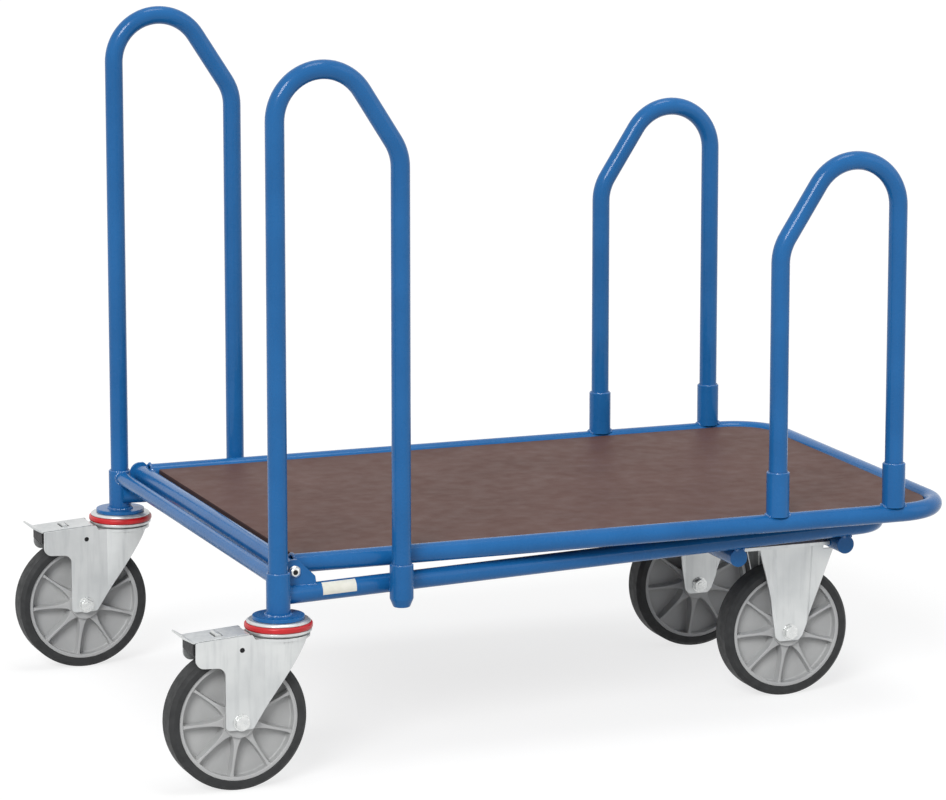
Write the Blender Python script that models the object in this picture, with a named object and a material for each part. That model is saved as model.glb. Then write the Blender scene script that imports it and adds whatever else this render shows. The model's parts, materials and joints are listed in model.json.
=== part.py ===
"""Nesting platform trolley: a tapered tube chassis on four casters, a hinged deck and four hoops.

The load deck is hinged at the rear, so that its front end rides up onto the deck of the next trolley
when the trolleys are pushed into each other.
+X points to the front (fixed casters), +Z up, and the trolley is symmetric about the XZ plane.
Lengths are in metres. The origin is on the floor, under the middle of the whole trolley.
"""
import math

import bmesh
import bpy
from mathutils import Matrix, Vector

# Clearances
GAP = 0.0003
CUT_OVERRUN = 0.010

# Tubes
TUBE_D = 0.027
TUBE_WALL = 0.0026
SLEEVE_WALL = 0.003
SLEEVE_D = TUBE_D + 2 * GAP + 2 * SLEEVE_WALL
CROSSBAR_D = 0.020
CROSSBAR_WALL = 0.002
HINGE_TUBE_D = 0.027
TUBE_SIDES = 12
BORE_SIDES = 6
BEND_STEP_DEG = 15.0
ROUND_SIDES = 16
DISC_SIDES = 20

# Wheels
WHEEL_R = 0.100
TYRE_SEGMENTS = 36
TREAD_HALF_W = 0.015
TYRE_HALF_W = 0.0205
SHOULDER_DROP = 0.0050
TYRE_T = 0.0142
RIM_HALF_W = 0.0185
RIM_WALL = 0.0052
RIM_WEB_HALF_T = 0.0030
RIM_SEGMENTS = 27
HUB_R = 0.0245
HUB_HALF_W = 0.0255
SPOKE_COUNT = 9
SPOKE_PHASE_DEG = 17.0
SPOKE_ROOT = 0.0035
SPOKE_HALF_W = 0.0026
SPOKE_FLARE_HALF_W = 0.0066
SPOKE_RECESS = 0.0015
BUSH_R = 0.0105
BUSH_PROUD = 0.0020

# Axle bolts, M12 with a hexagon head and nut
AXLE_R = 0.006
AXLE_HEX_FLATS = 0.0185
AXLE_HEAD_H = 0.0065
AXLE_NUT_H = 0.0080

# Swivel casters
CASTER_TRAIL = 0.065
CROWN_CLEARANCE = 0.0116
FORK_PLATE_T = 0.0035
FORK_SIDE_CLEARANCE = 0.0005
CROWN_T = 0.0040
CROWN_R = 0.0440
LOWER_RACE_H = 0.0068
LOWER_RACE_LIP = 0.0025
RACE_BORE_R = 0.0100
RING_H = 0.0080
RING_LIP = 0.0012
RING_BORE_R = 0.0120
TOP_CUP_H = 0.0040
TOP_CUP_LIP = 0.0008
TOP_CUP_TAPER = 0.0030
KINGPIN_R = 0.006
KINGPIN_HEX_FLATS = 0.019
KINGPIN_HEX_H = 0.008
FORK_LEG_HALF_W = 0.0170
FORK_TOE_DROP = 0.0105
FORK_TOE_CHAMFER = 0.0090
FORK_ARM_REACH = 0.0645
FORK_ARM_FALL = 0.0055
FORK_ARM_END_H = 0.0245
FORK_ARM_CHIN_L = 0.0130
FORK_ARM_CHIN_H = 0.0115
FORK_ARM_ROOT_DROP = 0.0570
FORK_ARM_ROOT_L = 0.0110
FORK_ARM_ROOT_H = 0.0136
FORK_NOSE = 0.0300
FORK_LEG_BACK = 0.0225
ARM_PIVOT_DROP = 0.0203
ARM_PIVOT_AHEAD = 0.0020

# Brake pedals
PEDAL_T = 0.0025
PEDAL_LIFT = 0.0010
PEDAL_SIDE_GAP = 0.0012
PEDAL_EAR_T = 0.0020
PEDAL_EAR_DROP = 0.0265
PEDAL_EAR_INSET = 0.0100
PEDAL_FRONT_GAP = 0.0030
PEDAL_REAR = 0.0685
PEDAL_TIP_RISE = 0.0083
PEDAL_TIP_REACH = 0.0138
PEDAL_STUD_R = 0.0035
PEDAL_RIB_HALF_W = 0.0040
PEDAL_RIB_L = 0.0270
PEDAL_RIB_H = 0.0035
BLOCK_L = 0.0240
BLOCK_H = 0.0180
BLOCK_HALF_W = 0.0240
BLOCK_CORNER = 0.0045

# Fixed casters
FIXED_Y = 0.167
FIXED_AXLE_SETBACK = 0.069
FIXED_PLATE_T = 0.0050
FIXED_PLATE_HALF_W = 0.0500
FIXED_PLATE_RISE = 0.0015
FIXED_TOP_REAR = 0.0500
FIXED_WAIST_REAR = 0.0304
FIXED_WAIST_RISE = 0.0521
FIXED_SHOULDER_FRONT = 0.0705
FIXED_NECK_SETBACK = 0.0010
FIXED_TOE_REAR = 0.0236
FIXED_TOE_FRONT = 0.0200
FIXED_TOE_DROP = 0.0130
FIXED_TOE_CHAMFER = 0.0065

# Posts, on the swivel axes
POST_Y = 0.3775
POST_H = 0.0583
FLANGE_T = 0.0050
FLANGE_R = 0.0365
CROSSBAR_DROP = 0.0100

# Chassis, a bent tube that narrows towards the front
CHASSIS_RISE = 0.0228
RAIL_INSET = 0.0125
RAIL_TAPER_DEG = 7.6
CHASSIS_FRONT_X = 0.997
CHASSIS_BEND_R = 0.050
CROSS_TUBE_SETBACK = 0.066
CROSS_TUBE_PITCH = 0.184
GUSSET_T = 0.0050
GUSSET_STANDOFF = 0.0020
GUSSET_FOOT = 0.0487
GUSSET_SHOULDER = 0.0472
GUSSET_TOP_L = 0.0213
GUSSET_TOP_RISE = 0.0168
GUSSET_SHOULDER_DROP = 0.0080
GUSSET_TOP_R = 0.0150

# Deck platform
PLATFORM_INSET = 0.0170
PLATFORM_OVERHANG = 0.0596
PLATFORM_BEND_R = 0.080
PLATFORM_LIFT = 0.0100
HINGE_AHEAD = 0.0050
HINGE_DROP = 0.0050
HINGE_CAP_T = 0.0040
HINGE_BOLT_R = 0.0050
HINGE_HEAD_R = 0.0088
HINGE_HEAD_H = 0.0050
HINGE_SPACER_R = 0.0095
HINGE_SPACER_T = 0.0067
DECK_T = 0.012
DECK_RISE = 0.0074
DECK_REAR_GAP = 0.0030
SUPPORT_SETBACK = 0.057
SUPPORT_REAR_AHEAD = 0.1715
SUPPORT_W = 0.030
SUPPORT_T = 0.005
REST_PAD_R = 0.0100
REST_PAD_EDGE = 0.0015

# Hoops
HOOP_BEND_R = 0.069
HOOP_SLANT_DEG = 32.6
REAR_HOOP_SPACING = 0.1835
REAR_HOOP_TOP_Z = 1.0060
FRONT_HOOP_SETBACK = 0.0951
FRONT_HOOP_SPACING = 0.1855
FRONT_HOOP_TOP_Z = 0.8360
SLEEVE_H = 0.0615
SLEEVE_SINK = 0.0030
SLEEVE_FLOOR = 0.0120
SOCKET_TOP_RISE = 0.0315
SOCKET_H = 0.0600
SOCKET_CHAMFER_H = 0.0120
SOCKET_CHAMFER = 0.0050
SOCKET_FLOOR = 0.0100
POST_LEG_CLEARANCE = 0.0030

# Colours are linear RGB
BLUE = (0.022, 0.118, 0.352)
ZINC = (0.62, 0.63, 0.62)
STEEL = (0.52, 0.53, 0.54)
TYRE_GREY = (0.040, 0.041, 0.042)
RIM_GREY = (0.40, 0.41, 0.41)
RING_RED = (0.70, 0.010, 0.014)
DECK_BROWN = (0.138, 0.082, 0.070)
BLACK = (0.012, 0.012, 0.013)
BUSH_GREY = (0.20, 0.20, 0.20)

# Radii and widths of the casters that follow from the sizes above
RIM_R = WHEEL_R - TYRE_T
BUSH_HALF_W = HUB_HALF_W + BUSH_PROUD
FORK_HALF_GAP = BUSH_HALF_W + FORK_SIDE_CLEARANCE
FORK_OUTER = FORK_HALF_GAP + FORK_PLATE_T
LOWER_RACE_R = CROWN_R + LOWER_RACE_LIP
RING_R = LOWER_RACE_R + RING_LIP
TOP_CUP_R = CROWN_R + TOP_CUP_LIP

# Heights that follow from the sizes above
AXLE_Z = WHEEL_R * math.cos(math.pi / TYRE_SEGMENTS)
CROWN_BOTTOM_Z = AXLE_Z + WHEEL_R + CROWN_CLEARANCE
CROWN_TOP_Z = CROWN_BOTTOM_Z + CROWN_T
LOWER_RACE_Z = CROWN_TOP_Z + GAP
ARM_TOP_Z = CROWN_TOP_Z + LOWER_RACE_H
ARM_PIVOT_Z = ARM_TOP_Z - ARM_PIVOT_DROP
RING_Z = LOWER_RACE_Z + LOWER_RACE_H + GAP
TOP_CUP_Z = RING_Z + RING_H + GAP
FLANGE_Z = TOP_CUP_Z + TOP_CUP_H + GAP
FLANGE_TOP_Z = FLANGE_Z + FLANGE_T
POST_TOP_Z = FLANGE_TOP_Z + POST_H
CROSSBAR_Z = POST_TOP_Z - CROSSBAR_DROP
CHASSIS_Z = FLANGE_TOP_Z + CHASSIS_RISE
CHASSIS_TOP_Z = CHASSIS_Z + TUBE_D / 2
CROSS_TUBE_Z = CHASSIS_Z - TUBE_D - GAP
PLATFORM_Z = CHASSIS_Z + TUBE_D + PLATFORM_LIFT
HINGE_Z = PLATFORM_Z - HINGE_DROP
DECK_TOP_Z = PLATFORM_Z + DECK_RISE
DECK_BOTTOM_Z = DECK_TOP_Z - DECK_T
SUPPORT_TOP_Z = DECK_BOTTOM_Z - GAP
FIXED_PLATE_TOP_Z = CROSS_TUBE_Z + FIXED_PLATE_RISE
FIXED_PLATE_Z = FIXED_PLATE_TOP_Z - FIXED_PLATE_T

# Places along the trolley, in front of the rear posts
HINGE_X = (CROSSBAR_D + HINGE_TUBE_D) / 2 + HINGE_AHEAD
CROSS_TUBE_FRONT_X = CHASSIS_FRONT_X - CROSS_TUBE_SETBACK
CROSS_TUBE_REAR_X = CROSS_TUBE_FRONT_X - CROSS_TUBE_PITCH
FIXED_X = CROSS_TUBE_FRONT_X - FIXED_AXLE_SETBACK
PLATFORM_FRONT_X = CHASSIS_FRONT_X + PLATFORM_OVERHANG
SUPPORT_FRONT_X = CHASSIS_FRONT_X - SUPPORT_SETBACK
SUPPORT_REAR_X = HINGE_X + SUPPORT_REAR_AHEAD
SUPPORT_PITCH = (SUPPORT_FRONT_X - SUPPORT_REAR_X) / 2
FRONT_HOOP_X = PLATFORM_FRONT_X - FRONT_HOOP_SETBACK
ARM_PIVOT_X = ARM_PIVOT_AHEAD - CASTER_TRAIL
ARM_FRONT_X = -CROWN_R - CROWN_T
ARM_REAR_X = -CASTER_TRAIL - FORK_ARM_REACH
ARM_SLOPE = FORK_ARM_FALL / (ARM_FRONT_X - ARM_REAR_X)

# Widths across the trolley that follow from the sizes above
RAIL_SLOPE = math.tan(math.radians(RAIL_TAPER_DEG))
RAIL_Y_REAR = POST_Y - RAIL_INSET
GUSSET_Y = RAIL_Y_REAR - RAIL_SLOPE * HINGE_X
HINGE_TUBE_HALF_L = GUSSET_Y - GUSSET_T / 2 - HINGE_SPACER_T - 2 * GAP
PLATFORM_Y = HINGE_TUBE_HALF_L - PLATFORM_INSET
SOCKET_REACH = (TUBE_D / 2 + SLEEVE_D / 2 + GAP) / math.cos(math.radians(RAIL_TAPER_DEG))
REAR_HOOP_FRONT_Y = RAIL_Y_REAR - RAIL_SLOPE * REAR_HOOP_SPACING + SOCKET_REACH

# The rear post axis stands here, so that the origin is under the middle of the whole trolley
REAR_END = CASTER_TRAIL + AXLE_Z
FRONT_END = PLATFORM_FRONT_X + TUBE_D / 2
POST_X = (REAR_END - FRONT_END) / 2

SIDES = {"right": -1, "left": 1}

# The middle of a rounded corner, as shares of the corner's length and height
FAR_SHARE = math.sin(math.pi / 4)
NEAR_SHARE = 1 - FAR_SHARE


def clear_scene():
    """Remove every object, mesh, curve and material of the open file."""
    for obj in list(bpy.data.objects):
        bpy.data.objects.remove(obj, do_unlink=True)
    for blocks in (bpy.data.meshes, bpy.data.curves, bpy.data.materials):
        for block in list(blocks):
            blocks.remove(block)


def add_empty(name, location, parent=None):
    """An empty that marks a joint's axis."""
    empty = bpy.data.objects.new(name, None)
    bpy.context.scene.collection.objects.link(empty)
    empty.empty_display_size = TUBE_D
    empty.location = Vector(location)
    if parent:
        empty.parent = parent
        empty.location = Vector(location) - world_location(parent)
    return empty


def world_location(obj):
    """The place of an unrotated object, through its parents."""
    place = Vector(obj.location)
    while obj.parent:
        obj = obj.parent
        place += Vector(obj.location)
    return place


def make_material(name, colour, roughness, metallic):
    """A Principled material of one colour."""
    material = bpy.data.materials.new(name)
    material.use_nodes = True
    shader = material.node_tree.nodes["Principled BSDF"]
    shader.inputs["Base Color"].default_value = (*colour, 1.0)
    shader.inputs["Roughness"].default_value = roughness
    shader.inputs["Metallic"].default_value = metallic
    material.diffuse_color = (*colour, 1.0)
    return material


FINISHES = {
    "paint": (BLUE, 0.30, 0.0),
    "zinc": (ZINC, 0.35, 0.9),
    "steel": (STEEL, 0.30, 1.0),
    "tyre": (TYRE_GREY, 0.75, 0.0),
    "rim": (RIM_GREY, 0.55, 0.0),
    "red": (RING_RED, 0.40, 0.0),
    "deck": (DECK_BROWN, 0.55, 0.0),
    "black": (BLACK, 0.70, 0.0),
    "bush": (BUSH_GREY, 0.50, 0.0),
}


def add_object(name, mesh_builder, finish, location=(0.0, 0.0, 0.0), parent=None, smooth=True):
    """An object of its own, with its own material, whose origin is at a world location."""
    mesh = bpy.data.meshes.new(name)
    mesh_builder.to_mesh(mesh)
    mesh_builder.free()
    obj = bpy.data.objects.new(name, mesh)
    bpy.context.scene.collection.objects.link(obj)
    if finish:
        mesh.materials.append(make_material(name + "_finish", *FINISHES[finish]))
    if smooth:
        mesh.shade_smooth()
        mesh.set_sharp_from_angle(angle=math.radians(35))
    obj.location = Vector(location)
    if parent:
        obj.parent = parent
        obj.location = Vector(location) - world_location(parent)
    return obj


def add_guide(name, mesh_builder, location=(0.0, 0.0, 0.0), parent=None):
    """A cutter or an operand, which isn't a piece of the trolley."""
    guide = add_object(name, mesh_builder, None, location, parent, smooth=False)
    guide.hide_render = True
    guide.display_type = "WIRE"
    return guide


def boolean(obj, operation, guide):
    """An exact Boolean with a guide object."""
    modifier = obj.modifiers.new(guide.name, "BOOLEAN")
    modifier.operation = operation
    modifier.solver = "EXACT"
    modifier.object = guide
    return modifier


def cut(obj, guide):
    """Take a guide's volume away from an object."""
    return boolean(obj, "DIFFERENCE", guide)


def weld(obj, guide):
    """Join a guide's volume to an object."""
    return boolean(obj, "UNION", guide)


# Shapes


def clear_bore(radius, sides):
    """The corner radius of a faceted bore whose flats clear a round piece of one radius."""
    return (radius + GAP) / math.cos(math.pi / sides)


def rounded_path(corners, radius):
    """The points of a polyline whose inner corners are bent to one radius."""
    corners = [Vector(corner) for corner in corners]
    points = [corners[0]]
    for before, corner, after in zip(corners, corners[1:], corners[2:]):
        arriving = (corner - before).normalized()
        leaving = (after - corner).normalized()
        turn = arriving.angle(leaving)
        reach = radius * math.tan(turn / 2)
        start = corner - arriving * reach
        inward = (leaving - arriving * arriving.dot(leaving)).normalized()
        centre = start + inward * radius
        steps = max(2, math.ceil(math.degrees(turn) / BEND_STEP_DEG))
        for step in range(steps + 1):
            angle = turn * step / steps
            points.append(centre - inward * radius * math.cos(angle) + arriving * radius * math.sin(angle))
    points.append(corners[-1])
    return points


def sweep_rings(builder, points, normal, radius, sides):
    """Rings of a round section along a plane path, mitred where the path turns."""
    rings = []
    last = len(points) - 1
    for index, point in enumerate(points):
        arriving = (point - points[max(index - 1, 0)]).normalized()
        leaving = (points[min(index + 1, last)] - point).normalized()
        tangent = (arriving + leaving).normalized()
        half_turn = arriving.angle(leaving) / 2 if 0 < index < last else 0.0
        across = normal.cross(tangent).normalized() / math.cos(half_turn)
        ring = []
        for side in range(sides):
            angle = 2 * math.pi * side / sides
            offset = across * math.cos(angle) + normal * math.sin(angle)
            ring.append(builder.verts.new(point + offset * radius))
        rings.append(ring)
    return rings


def skin_rings(builder, rings, inside_out):
    """Faces between neighbouring rings."""
    for ring, following in zip(rings, rings[1:]):
        for side in range(len(ring)):
            other = (side + 1) % len(ring)
            corners = [ring[side], ring[other], following[other], following[side]]
            builder.faces.new(corners[::-1] if inside_out else corners)


def face_up(builder):
    """Point every face of a closed shape outwards."""
    bmesh.ops.recalc_face_normals(builder, faces=builder.faces[:])
    return builder


def tube(points, normal, diameter, wall=None):
    """A round tube along a plane path, open at both ends, or a solid bar without a wall."""
    builder = bmesh.new()
    normal = Vector(normal).normalized()
    points = [Vector(point) for point in points]
    outer = sweep_rings(builder, points, normal, diameter / 2, TUBE_SIDES)
    skin_rings(builder, outer, False)
    if wall is None:
        builder.faces.new(outer[0][::-1])
        builder.faces.new(outer[-1])
        return face_up(builder)
    inner = sweep_rings(builder, points, normal, diameter / 2 - wall, BORE_SIDES)
    skin_rings(builder, inner, True)
    for big, small in ((outer[0], inner[0]), (outer[-1], inner[-1])):
        bridge_unlike_rings(builder, big, small)
    return face_up(builder)


def bridge_unlike_rings(builder, big, small):
    """Faces between a ring and a concentric ring of half as many points."""
    count = len(small)
    share = len(big) // count
    for index in range(count):
        middle = small[index]
        following = small[(index + 1) % count]
        run = [big[(index * share + step) % len(big)] for step in range(share + 1)]
        for first, second in zip(run, run[1:]):
            builder.faces.new([first, second, middle])
        builder.faces.new([run[-1], following, middle])


def lathe(profile, segments, phase=0.0, axis="Y"):
    """A closed ring or disc: a profile of (radius, height) turned about an axis."""
    builder = bmesh.new()
    rows = []
    for radius, height in profile:
        if radius == 0.0:
            rows.append([builder.verts.new(axis_point(axis, 0.0, 0.0, height))])
            continue
        row = []
        for segment in range(segments):
            angle = 2 * math.pi * (segment + phase) / segments
            place = axis_point(axis, radius * math.cos(angle), radius * math.sin(angle), height)
            row.append(builder.verts.new(place))
        rows.append(row)
    closed = profile[0][0] > 0.0 and profile[-1][0] > 0.0
    pairs = list(zip(rows, rows[1:]))
    if closed:
        pairs.append((rows[-1], rows[0]))
    for row, following in pairs:
        for segment in range(segments):
            other = (segment + 1) % segments
            if len(row) == 1:
                builder.faces.new([row[0], following[segment], following[other]])
            elif len(following) == 1:
                builder.faces.new([row[segment], row[other], following[0]])
            else:
                builder.faces.new([row[segment], row[other], following[other], following[segment]])
    return face_up(builder)


def axis_point(axis, across, up, along):
    """A point given by its places around and along an axis."""
    if axis == "Y":
        return Vector((across, along, up))
    return Vector((across, up, along))


def washer_profile(inner, outer, low, high):
    """The section of a plain ring."""
    return [(inner, low), (outer, low), (outer, high), (inner, high)]


def prism(outline, low, high, axis="Y"):
    """A plate: an outline of (across, up) points, extruded along an axis."""
    builder = bmesh.new()
    bottom = [builder.verts.new(axis_point(axis, across, up, low)) for across, up in outline]
    top = [builder.verts.new(axis_point(axis, across, up, high)) for across, up in outline]
    builder.faces.new(bottom[::-1])
    builder.faces.new(top)
    for index in range(len(outline)):
        other = (index + 1) % len(outline)
        builder.faces.new([bottom[index], bottom[other], top[other], top[index]])
    return face_up(builder)


def box_outline(low_x, high_x, low_z, high_z):
    """The four corners of a rectangle."""
    return [(low_x, low_z), (high_x, low_z), (high_x, high_z), (low_x, high_z)]


def circle_outline(radius, sides, centre=(0.0, 0.0), phase=0.0):
    """The corners of a regular polygon round a centre."""
    points = []
    for side in range(sides):
        angle = 2 * math.pi * (side + phase) / sides
        points.append((centre[0] + radius * math.cos(angle), centre[1] + radius * math.sin(angle)))
    return points


def merge(builder, other):
    """Add another shape's faces to a shape."""
    mesh = bpy.data.meshes.new("merged")
    other.to_mesh(mesh)
    other.free()
    builder.from_mesh(mesh)
    bpy.data.meshes.remove(mesh)
    return builder


def moved(builder, offset):
    """A shape shifted by an offset."""
    bmesh.ops.translate(builder, vec=Vector(offset), verts=builder.verts[:])
    return builder


def rail_y(x):
    """Distance of a rail's centre from the middle plane, at a distance from the posts."""
    return RAIL_Y_REAR - RAIL_SLOPE * x


# Chassis


def build_chassis_frame():
    """The bent chassis tube, saddled onto both posts."""
    corners = [
        (POST_X, -RAIL_Y_REAR, CHASSIS_Z),
        (POST_X + CHASSIS_FRONT_X, -rail_y(CHASSIS_FRONT_X), CHASSIS_Z),
        (POST_X + CHASSIS_FRONT_X, rail_y(CHASSIS_FRONT_X), CHASSIS_Z),
        (POST_X, RAIL_Y_REAR, CHASSIS_Z),
    ]
    path = rounded_path(corners, CHASSIS_BEND_R)
    frame = add_object("chassis_frame", tube(path, (0, 0, 1), TUBE_D, TUBE_WALL), "paint")
    for side_name, side in SIDES.items():
        cut(frame, post_cutter("chassis_frame_saddle_" + side_name, side))


def post_cutter(name, side):
    """A cylinder a little wider than a post, on the post's axis."""
    low = FLANGE_TOP_Z - CUT_OVERRUN
    high = POST_TOP_Z + CUT_OVERRUN
    outline = circle_outline(SLEEVE_D / 2 + GAP, TUBE_SIDES)
    return add_guide(name, moved(prism(outline, low, high, "Z"), (POST_X, side * POST_Y, 0)))


def build_rear_crossbar():
    """The thin tube between the two posts."""
    ends = [(POST_X, -POST_Y, CROSSBAR_Z), (POST_X, POST_Y, CROSSBAR_Z)]
    bar = add_object("rear_crossbar", tube(ends, (0, 0, 1), CROSSBAR_D, CROSSBAR_WALL), "paint")
    for side_name, side in SIDES.items():
        cut(bar, post_cutter("rear_crossbar_saddle_" + side_name, side))


def build_post(side_name, side):
    """A post with its flange, which takes the rear hoop above and the swivel caster below."""
    bore = clear_bore(TUBE_D / 2, TUBE_SIDES)
    pin_bore = clear_bore(KINGPIN_R, TUBE_SIDES)
    profile = [
        (pin_bore, FLANGE_Z),
        (FLANGE_R, FLANGE_Z),
        (FLANGE_R, FLANGE_TOP_Z),
        (SLEEVE_D / 2, FLANGE_TOP_Z),
        (SLEEVE_D / 2, POST_TOP_Z),
        (bore, POST_TOP_Z),
        (bore, FLANGE_TOP_Z),
        (pin_bore, FLANGE_TOP_Z),
    ]
    place = (POST_X, side * POST_Y, 0)
    add_object("post_" + side_name, moved(lathe(profile, TUBE_SIDES, 0, "Z"), place), "paint")


def build_cross_tube(name, x):
    """A straight tube under both rails, which carries the fixed casters."""
    half = rail_y(x)
    ends = [(POST_X + x, -half, CROSS_TUBE_Z), (POST_X + x, half, CROSS_TUBE_Z)]
    add_object(name, tube(ends, (0, 0, 1), TUBE_D, TUBE_WALL), "paint")


def build_gusset(side_name, side):
    """The hinge plate that stands on the rear end of a rail."""
    start = POST_X + CROSSBAR_D / 2 + GUSSET_STANDOFF
    foot_z = CHASSIS_Z
    top_z = HINGE_Z + GUSSET_TOP_RISE
    shoulder_z = HINGE_Z - GUSSET_SHOULDER_DROP
    outline = [
        (start, foot_z),
        (start + GUSSET_FOOT, foot_z),
        (start + GUSSET_FOOT, CHASSIS_TOP_Z + GAP),
        (start + GUSSET_SHOULDER, shoulder_z),
        (start + GUSSET_TOP_L, top_z),
        (start + GUSSET_TOP_R, top_z),
        (start + GUSSET_TOP_R * NEAR_SHARE, top_z - GUSSET_TOP_R * NEAR_SHARE),
        (start, top_z - GUSSET_TOP_R),
    ]
    middle = side * GUSSET_Y
    shape = prism(outline, middle - GUSSET_T / 2, middle + GUSSET_T / 2)
    gusset = add_object("hinge_gusset_" + side_name, shape, "paint", smooth=False)
    cut(gusset, post_cutter("hinge_gusset_saddle_" + side_name, side))
    cut(gusset, rail_cutter("hinge_gusset_seat_" + side_name, side))
    hole = circle_outline(clear_bore(HINGE_BOLT_R, TUBE_SIDES), TUBE_SIDES, (POST_X + HINGE_X, HINGE_Z))
    reach = GUSSET_T / 2 + CUT_OVERRUN
    bore = prism(hole, middle - reach, middle + reach)
    cut(gusset, add_guide("hinge_gusset_bore_" + side_name, bore))


def rail_cutter(name, side):
    """A bar a little thicker than a rail, along the rail's rear half."""
    half_run = CHASSIS_FRONT_X / 2
    ends = [
        (POST_X - CUT_OVERRUN, side * rail_y(-CUT_OVERRUN), CHASSIS_Z),
        (POST_X + half_run, side * rail_y(half_run), CHASSIS_Z),
    ]
    return add_guide(name, tube(ends, (0, 0, 1), TUBE_D + 2 * GAP))


def build_hoop_socket(side_name, side):
    """The cup on a rail's outer side that takes the rear hoop's front leg."""
    top = CHASSIS_Z + SOCKET_TOP_RISE
    bottom = top - SOCKET_H
    outer = SLEEVE_D / 2
    bore = clear_bore(TUBE_D / 2, TUBE_SIDES)
    profile = [
        (0.0, bottom),
        (outer - SOCKET_CHAMFER, bottom),
        (outer, bottom + SOCKET_CHAMFER_H),
        (outer, top),
        (bore, top),
        (bore, bottom + SOCKET_FLOOR),
        (0.0, bottom + SOCKET_FLOOR),
    ]
    place = (POST_X + REAR_HOOP_SPACING, side * REAR_HOOP_FRONT_Y, 0)
    add_object("hoop_socket_" + side_name, moved(lathe(profile, TUBE_SIDES, 0, "Z"), place), "paint")


def hoop_corners(spacing, top_z, slant_leg_bottom, arc_leg_bottom):
    """The hoop's polyline in its own plane: the full bend at 0, the slanted side at the spacing."""
    slant = math.radians(HOOP_SLANT_DEG)
    centre_z = top_z - TUBE_D / 2 - HOOP_BEND_R
    reach = HOOP_BEND_R * (1 + math.cos(slant)) + centre_z * math.sin(slant)
    apex_z = reach / math.sin(slant)
    knee_z = (reach - spacing * math.cos(slant)) / math.sin(slant)
    return [(0.0, arc_leg_bottom), (0.0, apex_z), (spacing, knee_z), (spacing, slant_leg_bottom)]


def build_rear_hoop(side_name, side):
    """A high hoop, from the post to the socket on the rail."""
    post_leg_z = FLANGE_TOP_Z + KINGPIN_HEX_H + POST_LEG_CLEARANCE
    socket_leg_z = CHASSIS_Z + SOCKET_TOP_RISE - SOCKET_H + SOCKET_FLOOR + GAP
    corners = hoop_corners(REAR_HOOP_SPACING, REAR_HOOP_TOP_Z, socket_leg_z, post_leg_z)
    toe = (REAR_HOOP_FRONT_Y - POST_Y) / REAR_HOOP_SPACING
    places = [(POST_X + run, side * (POST_Y + toe * run), z) for run, z in corners]
    normal = Vector((1, side * toe, 0)).cross(Vector((0, 0, 1)))
    path = rounded_path(places, HOOP_BEND_R)
    add_object("rear_hoop_" + side_name, tube(path, normal, TUBE_D, TUBE_WALL), "paint")


def build_rest_pad(side_name, side):
    """A rubber buffer on a rail, on which the deck's front support rests."""
    low = CHASSIS_TOP_Z + GAP
    high = SUPPORT_TOP_Z - SUPPORT_T - GAP
    profile = [
        (0.0, low),
        (REST_PAD_R, low),
        (REST_PAD_R, high - REST_PAD_EDGE),
        (REST_PAD_R - REST_PAD_EDGE, high),
        (0.0, high),
    ]
    place = (POST_X + SUPPORT_FRONT_X, side * rail_y(SUPPORT_FRONT_X), 0)
    add_object("rest_pad_" + side_name, moved(lathe(profile, TUBE_SIDES, 0, "Z"), place), "black")


# Deck platform


def build_platform_frame(pivot):
    """The bent tube round the deck, saddled onto the hinge tube."""
    start = POST_X + HINGE_X + HINGE_TUBE_D / 4
    corners = [
        (start, -PLATFORM_Y, PLATFORM_Z),
        (POST_X + PLATFORM_FRONT_X, -PLATFORM_Y, PLATFORM_Z),
        (POST_X + PLATFORM_FRONT_X, PLATFORM_Y, PLATFORM_Z),
        (start, PLATFORM_Y, PLATFORM_Z),
    ]
    path = [point - world_location(pivot) for point in rounded_path(corners, PLATFORM_BEND_R)]
    shape = tube(path, (0, 0, 1), TUBE_D, TUBE_WALL)
    frame = add_object("platform_frame", shape, "paint", world_location(pivot), pivot)
    outline = circle_outline(HINGE_TUBE_D / 2 + GAP, ROUND_SIDES)
    half = PLATFORM_Y + TUBE_D
    saddle = prism(outline, -half, half)
    cut(frame, add_guide("platform_frame_saddle", saddle, world_location(pivot), pivot))


def build_hinge_tube(pivot):
    """The rear tube of the platform, with an end cap that takes the hinge bolt."""
    outer = HINGE_TUBE_D / 2
    bore = outer - TUBE_WALL
    hole = clear_bore(HINGE_BOLT_R, ROUND_SIDES)
    inner_end = HINGE_TUBE_HALF_L - HINGE_CAP_T
    profile = [
        (hole, -HINGE_TUBE_HALF_L),
        (outer, -HINGE_TUBE_HALF_L),
        (outer, HINGE_TUBE_HALF_L),
        (hole, HINGE_TUBE_HALF_L),
        (hole, inner_end),
        (bore, inner_end),
        (bore, -inner_end),
        (hole, -inner_end),
    ]
    shape = lathe(profile, ROUND_SIDES)
    add_object("platform_hinge_tube", shape, "paint", world_location(pivot), pivot)


def build_deck(pivot):
    """The plywood board inside the platform frame, with rounded front corners."""
    rear = POST_X + HINGE_X + HINGE_TUBE_D / 2 + DECK_REAR_GAP
    half = PLATFORM_Y - TUBE_D / 2 - GAP
    front = POST_X + PLATFORM_FRONT_X - TUBE_D / 2 - GAP
    radius = PLATFORM_BEND_R - TUBE_D / 2 - GAP
    corners = [(rear, -half, 0), (front, -half, 0), (front, half, 0), (rear, half, 0)]
    outline = [(point.x, point.y) for point in rounded_path(corners, radius)]
    board = moved(prism(outline, DECK_BOTTOM_Z, DECK_TOP_Z, "Z"), -world_location(pivot))
    add_object("deck_board", board, "deck", world_location(pivot), pivot, smooth=False)


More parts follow.
